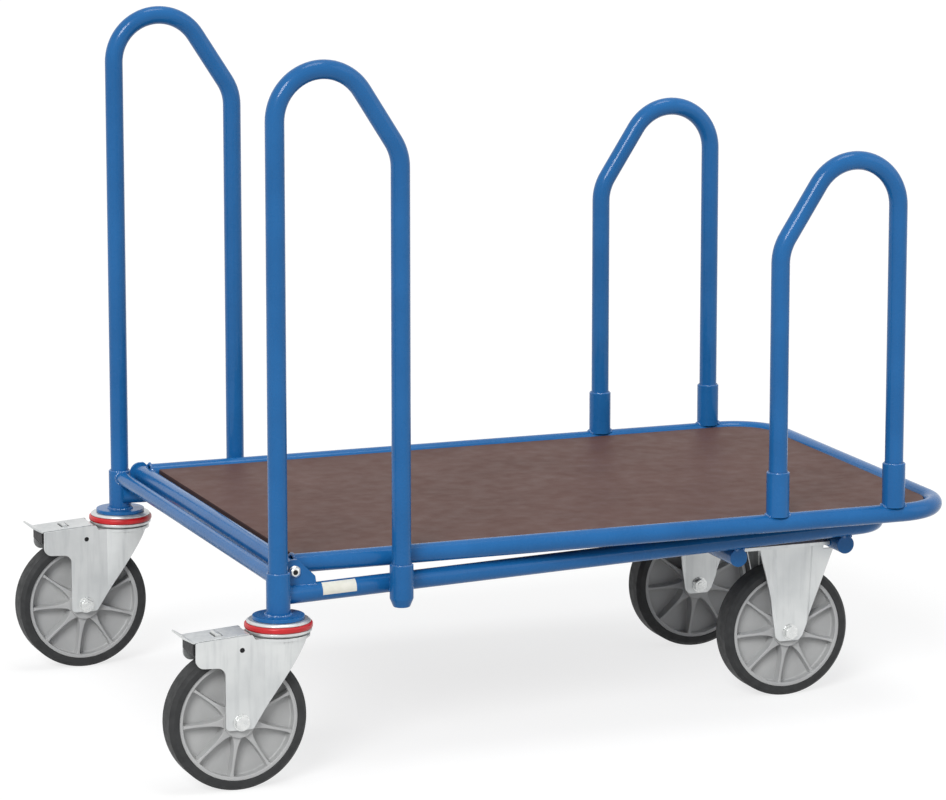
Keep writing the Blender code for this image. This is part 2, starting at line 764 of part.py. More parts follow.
def build_deck_support(name, x, pivot):
    """A flat bar under the deck, welded between the side tubes."""
    drop = PLATFORM_Z - SUPPORT_TOP_Z
    half = PLATFORM_Y - math.sqrt((TUBE_D / 2) ** 2 - drop**2) - GAP
    low_x = POST_X + x - SUPPORT_W / 2
    outline = box_outline(low_x, low_x + SUPPORT_W, SUPPORT_TOP_Z - SUPPORT_T, SUPPORT_TOP_Z)
    bar = moved(prism(outline, -half, half), -world_location(pivot))
    add_object(name, bar, "paint", world_location(pivot), pivot, smooth=False)


def build_sleeve(name, x, side, pivot):
    """A short tube that stands on a side tube and takes one leg of a front hoop."""
    low = PLATFORM_Z + TUBE_D / 2 - SLEEVE_SINK
    bore = clear_bore(TUBE_D / 2, TUBE_SIDES)
    profile = washer_profile(bore, SLEEVE_D / 2, low, low + SLEEVE_SINK + SLEEVE_H)
    place = Vector((POST_X + x, side * PLATFORM_Y, 0)) - world_location(pivot)
    shape = moved(lathe(profile, TUBE_SIDES, 0, "Z"), place)
    sleeve = add_object(name, shape, "paint", world_location(pivot), pivot)
    ends = [(place.x - SLEEVE_D, place.y, PLATFORM_Z), (place.x + SLEEVE_D, place.y, PLATFORM_Z)]
    ends = [Vector(end) - Vector((0, 0, world_location(pivot).z)) for end in ends]
    saddle = tube(ends, (0, 0, 1), TUBE_D + 2 * GAP)
    cut(sleeve, add_guide(name + "_saddle", saddle, world_location(pivot), pivot))


def build_front_hoop(side_name, side, pivot):
    """A low hoop, whose slanted side faces the rear hoop."""
    leg_z = PLATFORM_Z + TUBE_D / 2 + SLEEVE_FLOOR
    corners = hoop_corners(FRONT_HOOP_SPACING, FRONT_HOOP_TOP_Z, leg_z, leg_z)
    places = [(POST_X + FRONT_HOOP_X - run, side * PLATFORM_Y, z) for run, z in corners]
    path = [point - world_location(pivot) for point in rounded_path(places, HOOP_BEND_R)]
    shape = tube(path, (0, 1, 0), TUBE_D, TUBE_WALL)
    add_object("front_hoop_" + side_name, shape, "paint", world_location(pivot), pivot)


def build_hinge_bolt(side_name, side):
    """The button-head bolt on which the platform turns, with its spacer."""
    plate_y = GUSSET_Y + GUSSET_T / 2
    inner_plate_y = GUSSET_Y - GUSSET_T / 2
    tube_y = HINGE_TUBE_HALF_L + GAP
    tip_y = HINGE_TUBE_HALF_L - 2 * HINGE_CAP_T
    profile = [
        (0.0, plate_y + GAP + HINGE_HEAD_H),
        (HINGE_HEAD_R / 2, plate_y + GAP + HINGE_HEAD_H),
        (HINGE_HEAD_R, plate_y + GAP + HINGE_HEAD_H / 3),
        (HINGE_HEAD_R, plate_y + GAP),
        (HINGE_BOLT_R, plate_y + GAP),
        (HINGE_BOLT_R, inner_plate_y - GAP),
        (HINGE_SPACER_R, inner_plate_y - GAP),
        (HINGE_SPACER_R, tube_y),
        (HINGE_BOLT_R, tube_y),
        (HINGE_BOLT_R, tip_y),
        (0.0, tip_y),
    ]
    profile = [(radius, side * y) for radius, y in profile]
    place = (POST_X + HINGE_X, 0, HINGE_Z)
    add_object("hinge_bolt_" + side_name, moved(lathe(profile, TUBE_SIDES), place), "steel")


# Casters


def build_top_cup(side_name, side):
    """The upper race of a swivel caster, clamped under the post's flange."""
    pin_bore = clear_bore(KINGPIN_R, DISC_SIDES)
    profile = [
        (RACE_BORE_R, TOP_CUP_Z),
        (TOP_CUP_R, TOP_CUP_Z),
        (TOP_CUP_R, TOP_CUP_Z + TOP_CUP_H / 2),
        (TOP_CUP_R - TOP_CUP_TAPER, TOP_CUP_Z + TOP_CUP_H),
        (pin_bore, TOP_CUP_Z + TOP_CUP_H),
        (pin_bore, TOP_CUP_Z + TOP_CUP_H / 2),
        (RACE_BORE_R, TOP_CUP_Z + TOP_CUP_H / 2),
    ]
    place = (POST_X, side * POST_Y, 0)
    add_object("swivel_top_cup_" + side_name, moved(lathe(profile, DISC_SIDES, 0, "Z"), place), "zinc")


def build_kingpin(side_name, side):
    """The bolt that holds a swivel caster to its post."""
    head_low = CROWN_BOTTOM_Z - GAP - KINGPIN_HEX_H
    nut_low = FLANGE_TOP_Z + GAP
    place = (POST_X, side * POST_Y, 0)
    shank = circle_outline(KINGPIN_R, TUBE_SIDES)
    shape = moved(prism(shank, head_low, nut_low + KINGPIN_HEX_H, "Z"), place)
    pin = add_object("kingpin_" + side_name, shape, "steel")
    hexagon = circle_outline(KINGPIN_HEX_FLATS / math.sqrt(3), 6)
    for end_name, low in (("head", head_low), ("nut", nut_low)):
        shape = moved(prism(hexagon, low, low + KINGPIN_HEX_H, "Z"), place)
        weld(pin, add_guide("kingpin_" + end_name + "_" + side_name, shape))


def build_swivel_rings(side_name, pivot):
    """The lower race and the red dust ring, which turn with the fork."""
    lower = [
        (RACE_BORE_R, LOWER_RACE_Z),
        (CROWN_R, LOWER_RACE_Z),
        (LOWER_RACE_R, LOWER_RACE_Z + LOWER_RACE_H / 2),
        (LOWER_RACE_R, LOWER_RACE_Z + LOWER_RACE_H),
        (RACE_BORE_R, LOWER_RACE_Z + LOWER_RACE_H),
    ]
    ring = [
        (RING_BORE_R, RING_Z),
        (LOWER_RACE_R, RING_Z),
        (RING_R, RING_Z + RING_H / 4),
        (RING_R, RING_Z + RING_H * 3 / 4),
        (LOWER_RACE_R, RING_Z + RING_H),
        (RING_BORE_R, RING_Z + RING_H),
    ]
    base = world_location(pivot)
    for name, profile, finish in (("swivel_race_", lower, "zinc"), ("dust_ring_", ring, "red")):
        shape = moved(lathe(profile, DISC_SIDES, 0, "Z"), (0, 0, -base.z))
        add_object(name + side_name, shape, finish, base, pivot)


def arm_top_z(x):
    """Height of the top edge of a fork's arm, which falls towards the rear."""
    return ARM_TOP_Z + ARM_SLOPE * (x - ARM_FRONT_X)


def fork_outline():
    """The side plate of a swivel fork, seen from the side, about the kingpin's axis."""
    leg = -CASTER_TRAIL
    arm_end_low = arm_top_z(ARM_REAR_X) - FORK_ARM_END_H
    root = leg - FORK_LEG_BACK
    root_z = ARM_TOP_Z - FORK_ARM_ROOT_DROP
    toe_z = AXLE_Z - FORK_TOE_DROP
    return [
        (root, toe_z + FORK_TOE_CHAMFER),
        (root + FORK_TOE_CHAMFER / 2, toe_z),
        (leg + FORK_LEG_HALF_W - FORK_TOE_CHAMFER / 2, toe_z),
        (leg + FORK_LEG_HALF_W + FORK_TOE_CHAMFER / 2, toe_z + FORK_TOE_CHAMFER),
        (FORK_NOSE, CROWN_BOTTOM_Z),
        (FORK_NOSE + CROWN_T / 2, CROWN_TOP_Z),
        (-CROWN_R, CROWN_TOP_Z),
        (ARM_FRONT_X, ARM_TOP_Z),
        (ARM_REAR_X, arm_top_z(ARM_REAR_X)),
        (ARM_REAR_X, arm_end_low),
        (
            ARM_REAR_X + FORK_ARM_CHIN_L * NEAR_SHARE,
            arm_end_low - FORK_ARM_CHIN_H * FAR_SHARE,
        ),
        (ARM_REAR_X + FORK_ARM_CHIN_L, arm_end_low - FORK_ARM_CHIN_H),
        (root - FORK_ARM_ROOT_L, root_z + FORK_ARM_ROOT_H),
        (root - FORK_ARM_ROOT_L * NEAR_SHARE, root_z + FORK_ARM_ROOT_H * FAR_SHARE),
        (root, root_z),
    ]


def build_swivel_fork(side_name, pivot):
    """The pressed fork of a swivel caster: a crown and two side plates."""
    base = world_location(pivot)
    outline = [(across, up - base.z) for across, up in fork_outline()]
    section = washer_profile(RACE_BORE_R, CROWN_R, CROWN_BOTTOM_Z - base.z, CROWN_TOP_Z - base.z)
    crown = lathe(section, DISC_SIDES, 0, "Z")
    fork = add_object("swivel_fork_" + side_name, crown, "zinc", base, pivot)
    for plate_name, low in (("outer", FORK_HALF_GAP), ("inner", -FORK_OUTER)):
        plate = prism(outline, low, low + FORK_PLATE_T)
        weld(fork, add_guide("fork_plate_" + plate_name + "_" + side_name, plate, base, pivot))
    reach = FORK_OUTER + CUT_OVERRUN
    for hole_name, centre, radius in (
        ("axle", (-CASTER_TRAIL, AXLE_Z - base.z), AXLE_R),
        ("pivot", (ARM_PIVOT_X, ARM_PIVOT_Z - base.z), PEDAL_STUD_R),
    ):
        shape = prism(circle_outline(clear_bore(radius, TUBE_SIDES), TUBE_SIDES, centre), -reach, reach)
        cut(fork, add_guide("fork_hole_" + hole_name + "_" + side_name, shape, base, pivot))


def build_pedal(side_name, pivot):
    """The stamped brake pedal, with two ears and studs that turn in the fork's arms."""
    base = world_location(pivot)
    half = FORK_HALF_GAP - PEDAL_SIDE_GAP
    front = -RING_R - PEDAL_FRONT_GAP - ARM_PIVOT_X
    rear = -PEDAL_REAR
    front_top = pedal_top(front)
    rear_top = pedal_top(rear)
    outline = [
        (rear, rear_top - PEDAL_T),
        (front, front_top - PEDAL_T),
        (front, front_top),
        (rear, rear_top),
        (rear - PEDAL_TIP_REACH, rear_top + PEDAL_TIP_RISE),
        (rear - PEDAL_TIP_REACH - PEDAL_T / 2, rear_top + PEDAL_TIP_RISE - PEDAL_T),
    ]
    shape = prism(outline, -half, half)
    pedal = add_object("brake_pedal_" + side_name, shape, "zinc", base, pivot, smooth=False)
    ear_rear = rear + PEDAL_EAR_INSET
    ear = [
        (ear_rear, front_top - PEDAL_EAR_DROP),
        (front, front_top - PEDAL_EAR_DROP),
        (front, front_top - PEDAL_T / 2),
        (ear_rear, pedal_top(ear_rear) - PEDAL_T / 2),
    ]
    for ear_name, side in SIDES.items():
        low = min(side * half, side * (half - PEDAL_EAR_T))
        plate = prism(ear, low, low + PEDAL_EAR_T)
        weld(pedal, add_guide("pedal_ear_" + ear_name + "_" + side_name, plate, base, pivot))
        ends = sorted((side * (half - PEDAL_EAR_T / 2), side * (FORK_HALF_GAP + FORK_PLATE_T / 2)))
        stud = prism(circle_outline(PEDAL_STUD_R, TUBE_SIDES), *ends)
        weld(pedal, add_guide("pedal_stud_" + ear_name + "_" + side_name, stud, base, pivot))
    middle = (front + rear) / 2
    low = pedal_top(middle) - PEDAL_T / 2
    rib = box_outline(
        middle - PEDAL_RIB_HALF_W, middle + PEDAL_RIB_HALF_W, low, pedal_top(middle) + PEDAL_RIB_H
    )
    bump = prism(rib, -PEDAL_RIB_L / 2, PEDAL_RIB_L / 2)
    weld(pedal, add_guide("pedal_rib_" + side_name, bump, base, pivot))
    block_front = rear + BLOCK_L
    block_low = rear_top - PEDAL_T - GAP - BLOCK_H
    outline = [
        (block_front, pedal_top(block_front) - PEDAL_T - GAP),
        (rear, rear_top - PEDAL_T - GAP),
        (rear, block_low + BLOCK_CORNER),
        (rear + BLOCK_CORNER * NEAR_SHARE, block_low + BLOCK_CORNER * NEAR_SHARE),
        (rear + BLOCK_CORNER, block_low),
        (block_front - BLOCK_CORNER, block_low),
        (block_front, block_low + BLOCK_CORNER),
    ]
    shape = prism(outline, -BLOCK_HALF_W, BLOCK_HALF_W)
    add_object("brake_block_" + side_name, shape, "black", base, pivot, smooth=False)


def pedal_top(x):
    """Height of the pedal's top above its pivot, at a distance from the pivot."""
    return arm_top_z(ARM_PIVOT_X + x) + PEDAL_LIFT - ARM_PIVOT_Z


def build_axle(name, centre, side, parent=None):
    """An axle bolt, with its hexagon head on the outer side and its nut on the inner side."""
    hexagon = circle_outline(AXLE_HEX_FLATS / math.sqrt(3), 6, phase=0.5)
    seat = FORK_OUTER + GAP
    head = (seat, seat + AXLE_HEAD_H)
    nut = (-seat - AXLE_NUT_H, -seat)
    ends = sorted((side * nut[0], side * head[1]))
    bolt = add_object(name, prism(circle_outline(AXLE_R, TUBE_SIDES), *ends), "steel", centre, parent)
    for end_name, span in (("head", head), ("nut", nut)):
        low, high = sorted((side * span[0], side * span[1]))
        weld(bolt, add_guide(name + "_" + end_name, prism(hexagon, low, high), centre, parent))


def build_wheel(name, pivot):
    """A wheel: the moulded rim with its spokes, the hub bush and the tyre."""
    centre = world_location(pivot)
    ring_inner = RIM_R - RIM_WALL
    half_section = [
        (clear_bore(BUSH_R, RIM_SEGMENTS), HUB_HALF_W),
        (HUB_R, HUB_HALF_W),
        (HUB_R, RIM_WEB_HALF_T),
        (ring_inner, RIM_WEB_HALF_T),
        (ring_inner, RIM_HALF_W),
        (RIM_R, RIM_HALF_W),
    ]
    section = half_section + [(radius, -y) for radius, y in reversed(half_section)]
    rim = add_object("rim_" + name, lathe(section, RIM_SEGMENTS), "rim", centre, pivot)
    weld(rim, add_guide("spokes_" + name, spoke_fan(), centre, pivot))
    bush = washer_profile(clear_bore(AXLE_R, ROUND_SIDES), BUSH_R, -BUSH_HALF_W, BUSH_HALF_W)
    add_object("hub_bush_" + name, lathe(bush, ROUND_SIDES), "bush", centre, pivot)
    seat = clear_bore(RIM_R, TYRE_SEGMENTS)
    half_tyre = [
        (seat, TYRE_HALF_W),
        (WHEEL_R - SHOULDER_DROP, TYRE_HALF_W),
        (WHEEL_R, TREAD_HALF_W),
    ]
    tread = half_tyre + [(radius, -y) for radius, y in reversed(half_tyre)]
    add_object("tyre_" + name, lathe(tread, TYRE_SEGMENTS, 0.5), "tyre", centre, pivot)


def spoke_fan():
    """All the spokes of a rim, each flared towards the hub."""
    fan = bmesh.new()
    inner = HUB_R - SPOKE_ROOT
    outer = RIM_R - RIM_WALL / 2
    neck = inner + (outer - inner) / 3
    half_section = [(inner, SPOKE_FLARE_HALF_W), (neck, SPOKE_HALF_W), (outer, SPOKE_HALF_W)]
    outline = [(x, -z) for x, z in half_section] + [(x, z) for x, z in reversed(half_section)]
    half_depth = RIM_HALF_W - SPOKE_RECESS
    for spoke in range(SPOKE_COUNT):
        blade = prism(outline, -half_depth, half_depth)
        angle = math.radians(SPOKE_PHASE_DEG) + 2 * math.pi * spoke / SPOKE_COUNT
        turn = Matrix.Rotation(angle, 4, "Y")
        bmesh.ops.transform(blade, matrix=turn, verts=blade.verts[:])
        merge(fan, blade)
    return fan


def build_fixed_fork(side_name, side):
    """The pressed fork of a fixed caster, whose plate lies between the two cross tubes."""
    x = POST_X + FIXED_X
    y = side * FIXED_Y
    plate_low = POST_X + CROSS_TUBE_REAR_X + TUBE_D / 2 + GAP
    plate_high = POST_X + CROSS_TUBE_FRONT_X - TUBE_D / 2 - GAP
    plate = box_outline(plate_low, plate_high, FIXED_PLATE_Z, FIXED_PLATE_TOP_Z)
    shape = prism(plate, y - FIXED_PLATE_HALF_W, y + FIXED_PLATE_HALF_W)
    fork = add_object("fixed_fork_" + side_name, shape, "zinc", smooth=False)
    toe_z = AXLE_Z - FIXED_TOE_DROP
    shoulder_z = CROSS_TUBE_Z - TUBE_D / 2 - GAP
    outline = [
        (x - FIXED_TOP_REAR, FIXED_PLATE_Z + FIXED_PLATE_T / 2),
        (x - FIXED_WAIST_REAR, AXLE_Z + FIXED_WAIST_RISE),
        (x - FIXED_TOE_REAR, toe_z + FIXED_TOE_CHAMFER),
        (x - FIXED_TOE_REAR + FIXED_TOE_CHAMFER, toe_z),
        (x + FIXED_TOE_FRONT - FIXED_TOE_CHAMFER, toe_z),
        (x + FIXED_TOE_FRONT, toe_z + FIXED_TOE_CHAMFER),
        (x + FIXED_SHOULDER_FRONT, shoulder_z),
        (plate_high - FIXED_NECK_SETBACK, shoulder_z),
        (plate_high - FIXED_NECK_SETBACK, FIXED_PLATE_Z + FIXED_PLATE_T / 2),
    ]
    for plate_name, low in (("outer", FORK_HALF_GAP), ("inner", -FORK_OUTER)):
        leg = prism(outline, y + low, y + low + FORK_PLATE_T)
        weld(fork, add_guide("fixed_leg_" + plate_name + "_" + side_name, leg))
    hole = circle_outline(clear_bore(AXLE_R, TUBE_SIDES), TUBE_SIDES, (x, AXLE_Z))
    reach = FORK_OUTER + CUT_OVERRUN
    bore = prism(hole, y - reach, y + reach)
    cut(fork, add_guide("fixed_bore_" + side_name, bore))


# Assembly


def build_chassis():
    """Everything that is welded or bolted to the chassis."""
    build_chassis_frame()
    build_rear_crossbar()
    build_cross_tube("cross_tube_rear", CROSS_TUBE_REAR_X)
    build_cross_tube("cross_tube_front", CROSS_TUBE_FRONT_X)
    for side_name, side in SIDES.items():
        build_post(side_name, side)
        build_gusset(side_name, side)
        build_hoop_socket(side_name, side)
        build_rear_hoop(side_name, side)
        build_rest_pad(side_name, side)
        build_hinge_bolt(side_name, side)
        build_top_cup(side_name, side)
        build_kingpin(side_name, side)


def build_platform():
    """The deck platform, on its hinge axis."""
    pivot = add_empty("platform_hinge", (POST_X + HINGE_X, 0, HINGE_Z))
    build_platform_frame(pivot)
    build_hinge_tube(pivot)
    build_deck(pivot)
    for index, place_name in enumerate(("front", "middle", "rear")):
        x = SUPPORT_FRONT_X - index * SUPPORT_PITCH
        build_deck_support("deck_support_" + place_name, x, pivot)
    for side_name, side in SIDES.items():
        build_front_hoop(side_name, side, pivot)
        for place_name, setback in (("front", 0), ("rear", FRONT_HOOP_SPACING)):
            name = "hoop_sleeve_" + place_name + "_" + side_name
            build_sleeve(name, FRONT_HOOP_X - setback, side, pivot)


def build_swivel_caster(side_name, side):
    """A braked swivel caster under a post."""
    swivel = add_empty("swivel_axis_" + side_name, (POST_X, side * POST_Y, CROWN_TOP_Z))
    build_swivel_rings(side_name, swivel)
    build_swivel_fork(side_name, swivel)
    pedal_place = (POST_X + ARM_PIVOT_X, side * POST_Y, ARM_PIVOT_Z)
    build_pedal(side_name, add_empty("pedal_axis_" + side_name, pedal_place, swivel))
    centre = (POST_X - CASTER_TRAIL, side * POST_Y, AXLE_Z)
    build_axle("axle_rear_" + side_name, centre, side, swivel)
    build_wheel("rear_" + side_name, add_empty("wheel_axis_rear_" + side_name, centre, swivel))


def build_fixed_caster(side_name, side):
    """A fixed caster, welded between the cross tubes."""
    build_fixed_fork(side_name, side)
    centre = (POST_X + FIXED_X, side * FIXED_Y, AXLE_Z)
    build_axle("axle_front_" + side_name, centre, side)
    build_wheel("front_" + side_name, add_empty("wheel_axis_front_" + side_name, centre))


def main():
    """Build the whole trolley."""
    clear_scene()
    build_chassis()
    build_platform()
    for side_name, side in SIDES.items():
        build_swivel_caster(side_name, side)
        build_fixed_caster(side_name, side)


main()
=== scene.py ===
"""The looks of the nesting platform trolley: rounded shapes, welds, finishes, light and camera.

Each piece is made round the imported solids, rides on one of their bodies and stands for its nodes.
Lengths are in metres. +X points to the front, +Z up, and "right" is the side nearer to the camera.
"""
import json
import math

import bmesh
import bpy
from mathutils import Matrix, Vector, noise


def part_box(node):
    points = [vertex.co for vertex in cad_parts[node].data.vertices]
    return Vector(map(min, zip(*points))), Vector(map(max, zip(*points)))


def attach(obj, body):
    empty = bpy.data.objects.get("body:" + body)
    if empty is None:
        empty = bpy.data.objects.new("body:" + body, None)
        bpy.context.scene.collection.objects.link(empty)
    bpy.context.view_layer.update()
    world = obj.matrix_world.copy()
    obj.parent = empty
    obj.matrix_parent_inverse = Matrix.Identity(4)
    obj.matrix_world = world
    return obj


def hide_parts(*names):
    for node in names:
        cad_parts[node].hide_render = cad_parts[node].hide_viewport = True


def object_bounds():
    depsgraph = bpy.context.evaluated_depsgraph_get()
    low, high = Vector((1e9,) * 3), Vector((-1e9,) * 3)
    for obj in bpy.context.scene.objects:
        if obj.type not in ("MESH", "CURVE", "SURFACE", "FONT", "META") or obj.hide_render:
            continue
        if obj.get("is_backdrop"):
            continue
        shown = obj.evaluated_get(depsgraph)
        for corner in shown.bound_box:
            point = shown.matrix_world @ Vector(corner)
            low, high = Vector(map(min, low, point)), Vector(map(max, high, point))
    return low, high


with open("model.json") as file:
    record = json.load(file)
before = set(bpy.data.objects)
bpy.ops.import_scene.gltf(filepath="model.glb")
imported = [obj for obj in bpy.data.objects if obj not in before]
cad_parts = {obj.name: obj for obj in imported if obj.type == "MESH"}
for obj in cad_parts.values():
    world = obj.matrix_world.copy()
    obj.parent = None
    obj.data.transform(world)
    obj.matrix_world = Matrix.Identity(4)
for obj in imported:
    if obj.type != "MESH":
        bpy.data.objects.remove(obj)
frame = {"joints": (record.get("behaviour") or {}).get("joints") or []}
cad_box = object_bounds()

X_AXIS = Vector((1, 0, 0))
Y_AXIS = Vector((0, 1, 0))
Z_AXIS = Vector((0, 0, 1))
SIDES = {"right": -1, "left": 1}
CROSS_TUBES = ("cross_tube_rear", "cross_tube_front")

# Fineness of the round shapes
TUBE_SIDES = 40
DISC_SIDES = 96
WHEEL_SIDES = 144
BEAD_SIDES = 10
HEX_SIDES = 24
ARC_STEP_DEG = 5.0
BEVEL_SEGMENTS = 2
BEVEL_LIMIT_DEG = 40.0
CREASE_DEG = 32.0
MERGE_DISTANCE = 1e-7

# Tubes
GAP = 0.0003
TUBE_D = 0.027
TUBE_WALL = 0.0026
SLEEVE_WALL = 0.003
SLEEVE_D = TUBE_D + 2 * (GAP + SLEEVE_WALL)
CROSSBAR_WALL = 0.002
EDGE_ROUND = 0.0008

# Chassis and platform
RAIL_INSET = 0.0125
RAIL_TAPER_DEG = 7.6
CHASSIS_BEND_R = 0.050
PLATFORM_BEND_R = 0.080
SOCKET_CHAMFER_H = 0.012
SOCKET_CHAMFER = 0.005
SOCKET_FLOOR = 0.010
GUSSET_FOOT = 0.0487
GUSSET_SHOULDER = 0.0472
GUSSET_TOP_L = 0.0213
GUSSET_SHOULDER_DROP = 0.0248
GUSSET_ROUND = 0.0030
GUSSET_TOP_R = 0.0150
PLATE_EDGE = 0.0006
SHEET_EDGE = 0.0004
DECK_EDGE = 0.0012

# Hoops
HOOP_BEND_R = 0.069
HOOP_SLANT_DEG = 32.6

# Welds
WELD_R = 0.0024
SMALL_WELD_R = 0.8 * WELD_R
SEAM_R = 0.0011
RIPPLE_PITCH = 0.0034
RIPPLE_SHARE = 0.30
WELD_STEP = 0.0006
WELD_NOISE_SHARE = 0.45
WELD_NOISE_SCALE = 260.0
FOOT_WELD_R = SLEEVE_D / 2 + WELD_R / 4
SLEEVE_WELD_DEG = 64.0
SOCKET_WELD_RISE = 0.009
SOCKET_WELD_OFFSET = SLEEVE_D / 3
RAIL_WELD_DEG = 104.0
CROSS_WELD_OFFSET = TUBE_D / 5
CROSS_WELD_HALF_L = TUBE_D / 4

# Hinge bolts
BOLT_HEAD_R = 0.0088
BOLT_HEAD_H = 0.0050
BOLT_FLAT_SHARE = 0.62
BOLT_SKIRT_SHARE = 0.3
BOLT_SOCKET_R = 0.0036
BOLT_SOCKET_DEPTH = 0.0030
# How far below the head's face the black plug in the socket stops; the plug is painted shade.
BOLT_WELL_DROP = 0.0008

# Bare card on the right rail, in front of the post's axis
CARD_START = 0.0685
CARD_L = 0.0520
CARD_LOW_DEG = -13.0
CARD_HIGH_DEG = 68.0
CARD_T = 0.0004
CARD_STEPS = 12

# Axle bolts and kingpins
AXLE_R = 0.006
HEX_FLATS = 0.0185
HEX_HEAD_H = 0.0065
HEX_NUT_H = 0.0080
HEX_CHAMFER = 0.0012
HEX_WASHER_R = 0.0120
HEX_WASHER_T = 0.0013
KINGPIN_R = 0.006
KINGPIN_FLATS = 0.019
KINGPIN_HEX_H = 0.008
THREAD_END = 0.0008

# Forks
FORK_HALF_GAP = 0.028
FORK_PLATE_T = 0.0035
FORK_OUTER = FORK_HALF_GAP + FORK_PLATE_T
CROWN_R = 0.044
CROWN_T = 0.004
FORK_LEG_HALF_W = 0.017
FORK_LEG_BACK = 0.0225
FORK_NOSE = 0.030
ARM_FALL = 0.0055
ARM_END_DROP = 0.0415
ARM_ROOT_DROP = 0.0434
ARM_ROUND = 0.012
TOE_ROUND = 0.0065
SHEET_ROUND = 0.0015
FORK_SLICES_X = 34
FORK_SLICES_Z = 26
FORK_CREASE_DEG = 9.0
FIXED_PLATE_T = 0.0050
FIXED_TOP_REAR = 0.0500
FIXED_WAIST_REAR = 0.0304
FIXED_WAIST_RISE = 0.0521
FIXED_WAIST_ROUND = 0.020
FIXED_SHOULDER_FRONT = 0.0705
FIXED_NECK_SETBACK = 0.0010
FIXED_TOE_REAR = 0.0236
FIXED_TOE_FRONT = 0.0200
FIXED_TOE_CHAMFER = 0.0065
FIXED_CREASE_REAR = 0.0236
FIXED_CREASE_FRONT = 0.0264
FIXED_CREASE_FRONT_TOP = 0.0332
FIXED_CREASE_RUN = 0.0042
FIXED_CREASE_DEPTH = 0.0030
PIVOT_HOLE_R = 0.0036

# Races and rings of the swivel casters
RACE_LIP = 0.0025
RING_ROUND = 0.0026
CUP_TAPER = 0.0030
CUP_ROUND = 0.0012
RACE_BORE_R = 0.010

# Brake pedals
PEDAL_T = 0.0025
PEDAL_HALF_W = 0.0268
PEDAL_EAR_T = 0.0020
PEDAL_LIFT = 0.0010
PEDAL_EAR_DROP = 0.0265
PEDAL_EAR_INSET = 0.010
PEDAL_EAR_ROUND = 0.007
PEDAL_TIP_RISE = 0.0083
PEDAL_TIP_REACH = 0.0138
PEDAL_STUD_R = 0.0035
PEDAL_STUD_SHORT = 0.0016
PEDAL_RIB_HALF_W = 0.0036
PEDAL_RIB_L = 0.0270
PEDAL_RIB_H = 0.0032
PEDAL_SLOT_HALF_W = 0.0012
PEDAL_SLOT_OFF = 0.0051
BLOCK_ROUND = 0.0040
BLOCK_EDGE = 0.0010

# Wheels
TREAD_HALF_W = 0.015
TYRE_HALF_W = 0.0205
SHOULDER_DROP = 0.0050
TYRE_T = 0.0142
TYRE_ROUND = 0.0016
TYRE_BEAD_R = 0.0008
RIM_HALF_W = 0.0185
RIM_WALL = 0.0052
RIM_WEB_HALF_T = 0.0030
RIM_ROUND = 0.0011
HUB_R = 0.0245
HUB_HALF_W = 0.0255
HUB_TAPER = 0.0012
SPOKE_COUNT = 9
SPOKE_PHASE_DEG = 17.0
SPOKE_HUB_H = 0.0205
SPOKE_HALF_W = 0.0027
SPOKE_DRAFT = 0.0009
# Along each spoke: share of its length, and shares of its width and its height there
SPOKE_STATIONS = (
    (0.00, 3.30, 1.00),
    (0.06, 2.55, 0.99),
    (0.13, 2.00, 0.98),
    (0.22, 1.55, 0.96),
    (0.34, 1.22, 0.94),
    (0.50, 1.05, 0.89),
    (0.68, 1.00, 0.84),
    (0.84, 1.02, 0.81),
    (0.92, 1.22, 0.80),
    (1.00, 1.90, 0.80),
)
BUSH_R = 0.0105
BUSH_HALF_W = 0.0275

# Camera and light
IMAGE_W = 946
FOCAL_PX = 4641.88
SENSOR_W = 36.0
CAMERA_PLACE = (-2.4426, -6.2988, 1.7274)
CAMERA_PITCH_DEG = 79.24
CAMERA_YAW_DEG = -21.04
WHITE = (1.0, 1.0, 1.0)
FLOOR_R = 60.0
FLOOR_COLOUR = (0.60, 0.60, 0.60)
FLOOR_ROUGHNESS = 0.9
FLOOR_WHITE_SHARE = 0.50
FLOOR_GLOW = 1.49
WORLD_STRENGTH = 0.42
# Distant soft lamps: name, direction from the trolley, strength and angle of the disc
LAMPS = (
    ("key", (-3.2, -4.2, 3.4), 1.90, 22.0),
    ("overhead", (0.5, -0.4, 4.4), 0.75, 26.0),
    ("fill", (4.0, -2.6, 2.0), 0.35, 45.0),
)


# Places that come from the frame


def centre(node):
    """The middle of a node's box."""
    low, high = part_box(node)
    return (low + high) / 2


def low(node):
    """The lowest corner of a node's box."""
    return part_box(node)[0]


def high(node):
    """The highest corner of a node's box."""
    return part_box(node)[1]


def on_axis(node, z):
    """The point at a height on the upright line through a node's middle."""
    return Vector((centre(node).x, centre(node).y, z))


POST_X = centre("post_right").x
POST_Y = high("post_left").y - (high("post_left").x - low("post_left").x) / 2
FLANGE_R = high("post_left").x - POST_X
POST_TOP_Z = high("post_left").z
FLANGE_Z = low("post_left").z
CHASSIS_Z = centre("chassis_frame").z
CHASSIS_FRONT_X = high("chassis_frame").x - TUBE_D / 2
RAIL_Y_REAR = POST_Y - RAIL_INSET
RAIL_SLOPE = math.tan(math.radians(RAIL_TAPER_DEG))
PLATFORM_Z = centre("platform_frame").z
PLATFORM_Y = high("platform_frame").y - TUBE_D / 2
PLATFORM_FRONT_X = high("platform_frame").x - TUBE_D / 2
HINGE = centre("platform_hinge_tube")
HINGE_TUBE_R = high("platform_hinge_tube").z - HINGE.z
CROSSBAR_Z = centre("rear_crossbar").z
CROSSBAR_D = high("rear_crossbar").z - low("rear_crossbar").z
FLANGE_TOP_Z = high("kingpin_right").z - KINGPIN_HEX_H - GAP


def rail_y(x):
    """Distance of a rail's centre from the middle plane, at a world X."""
    return RAIL_Y_REAR - RAIL_SLOPE * (x - POST_X)


def post_place(side):
    """A point on a rear post's axis."""
    return Vector((POST_X, side * POST_Y, 0))


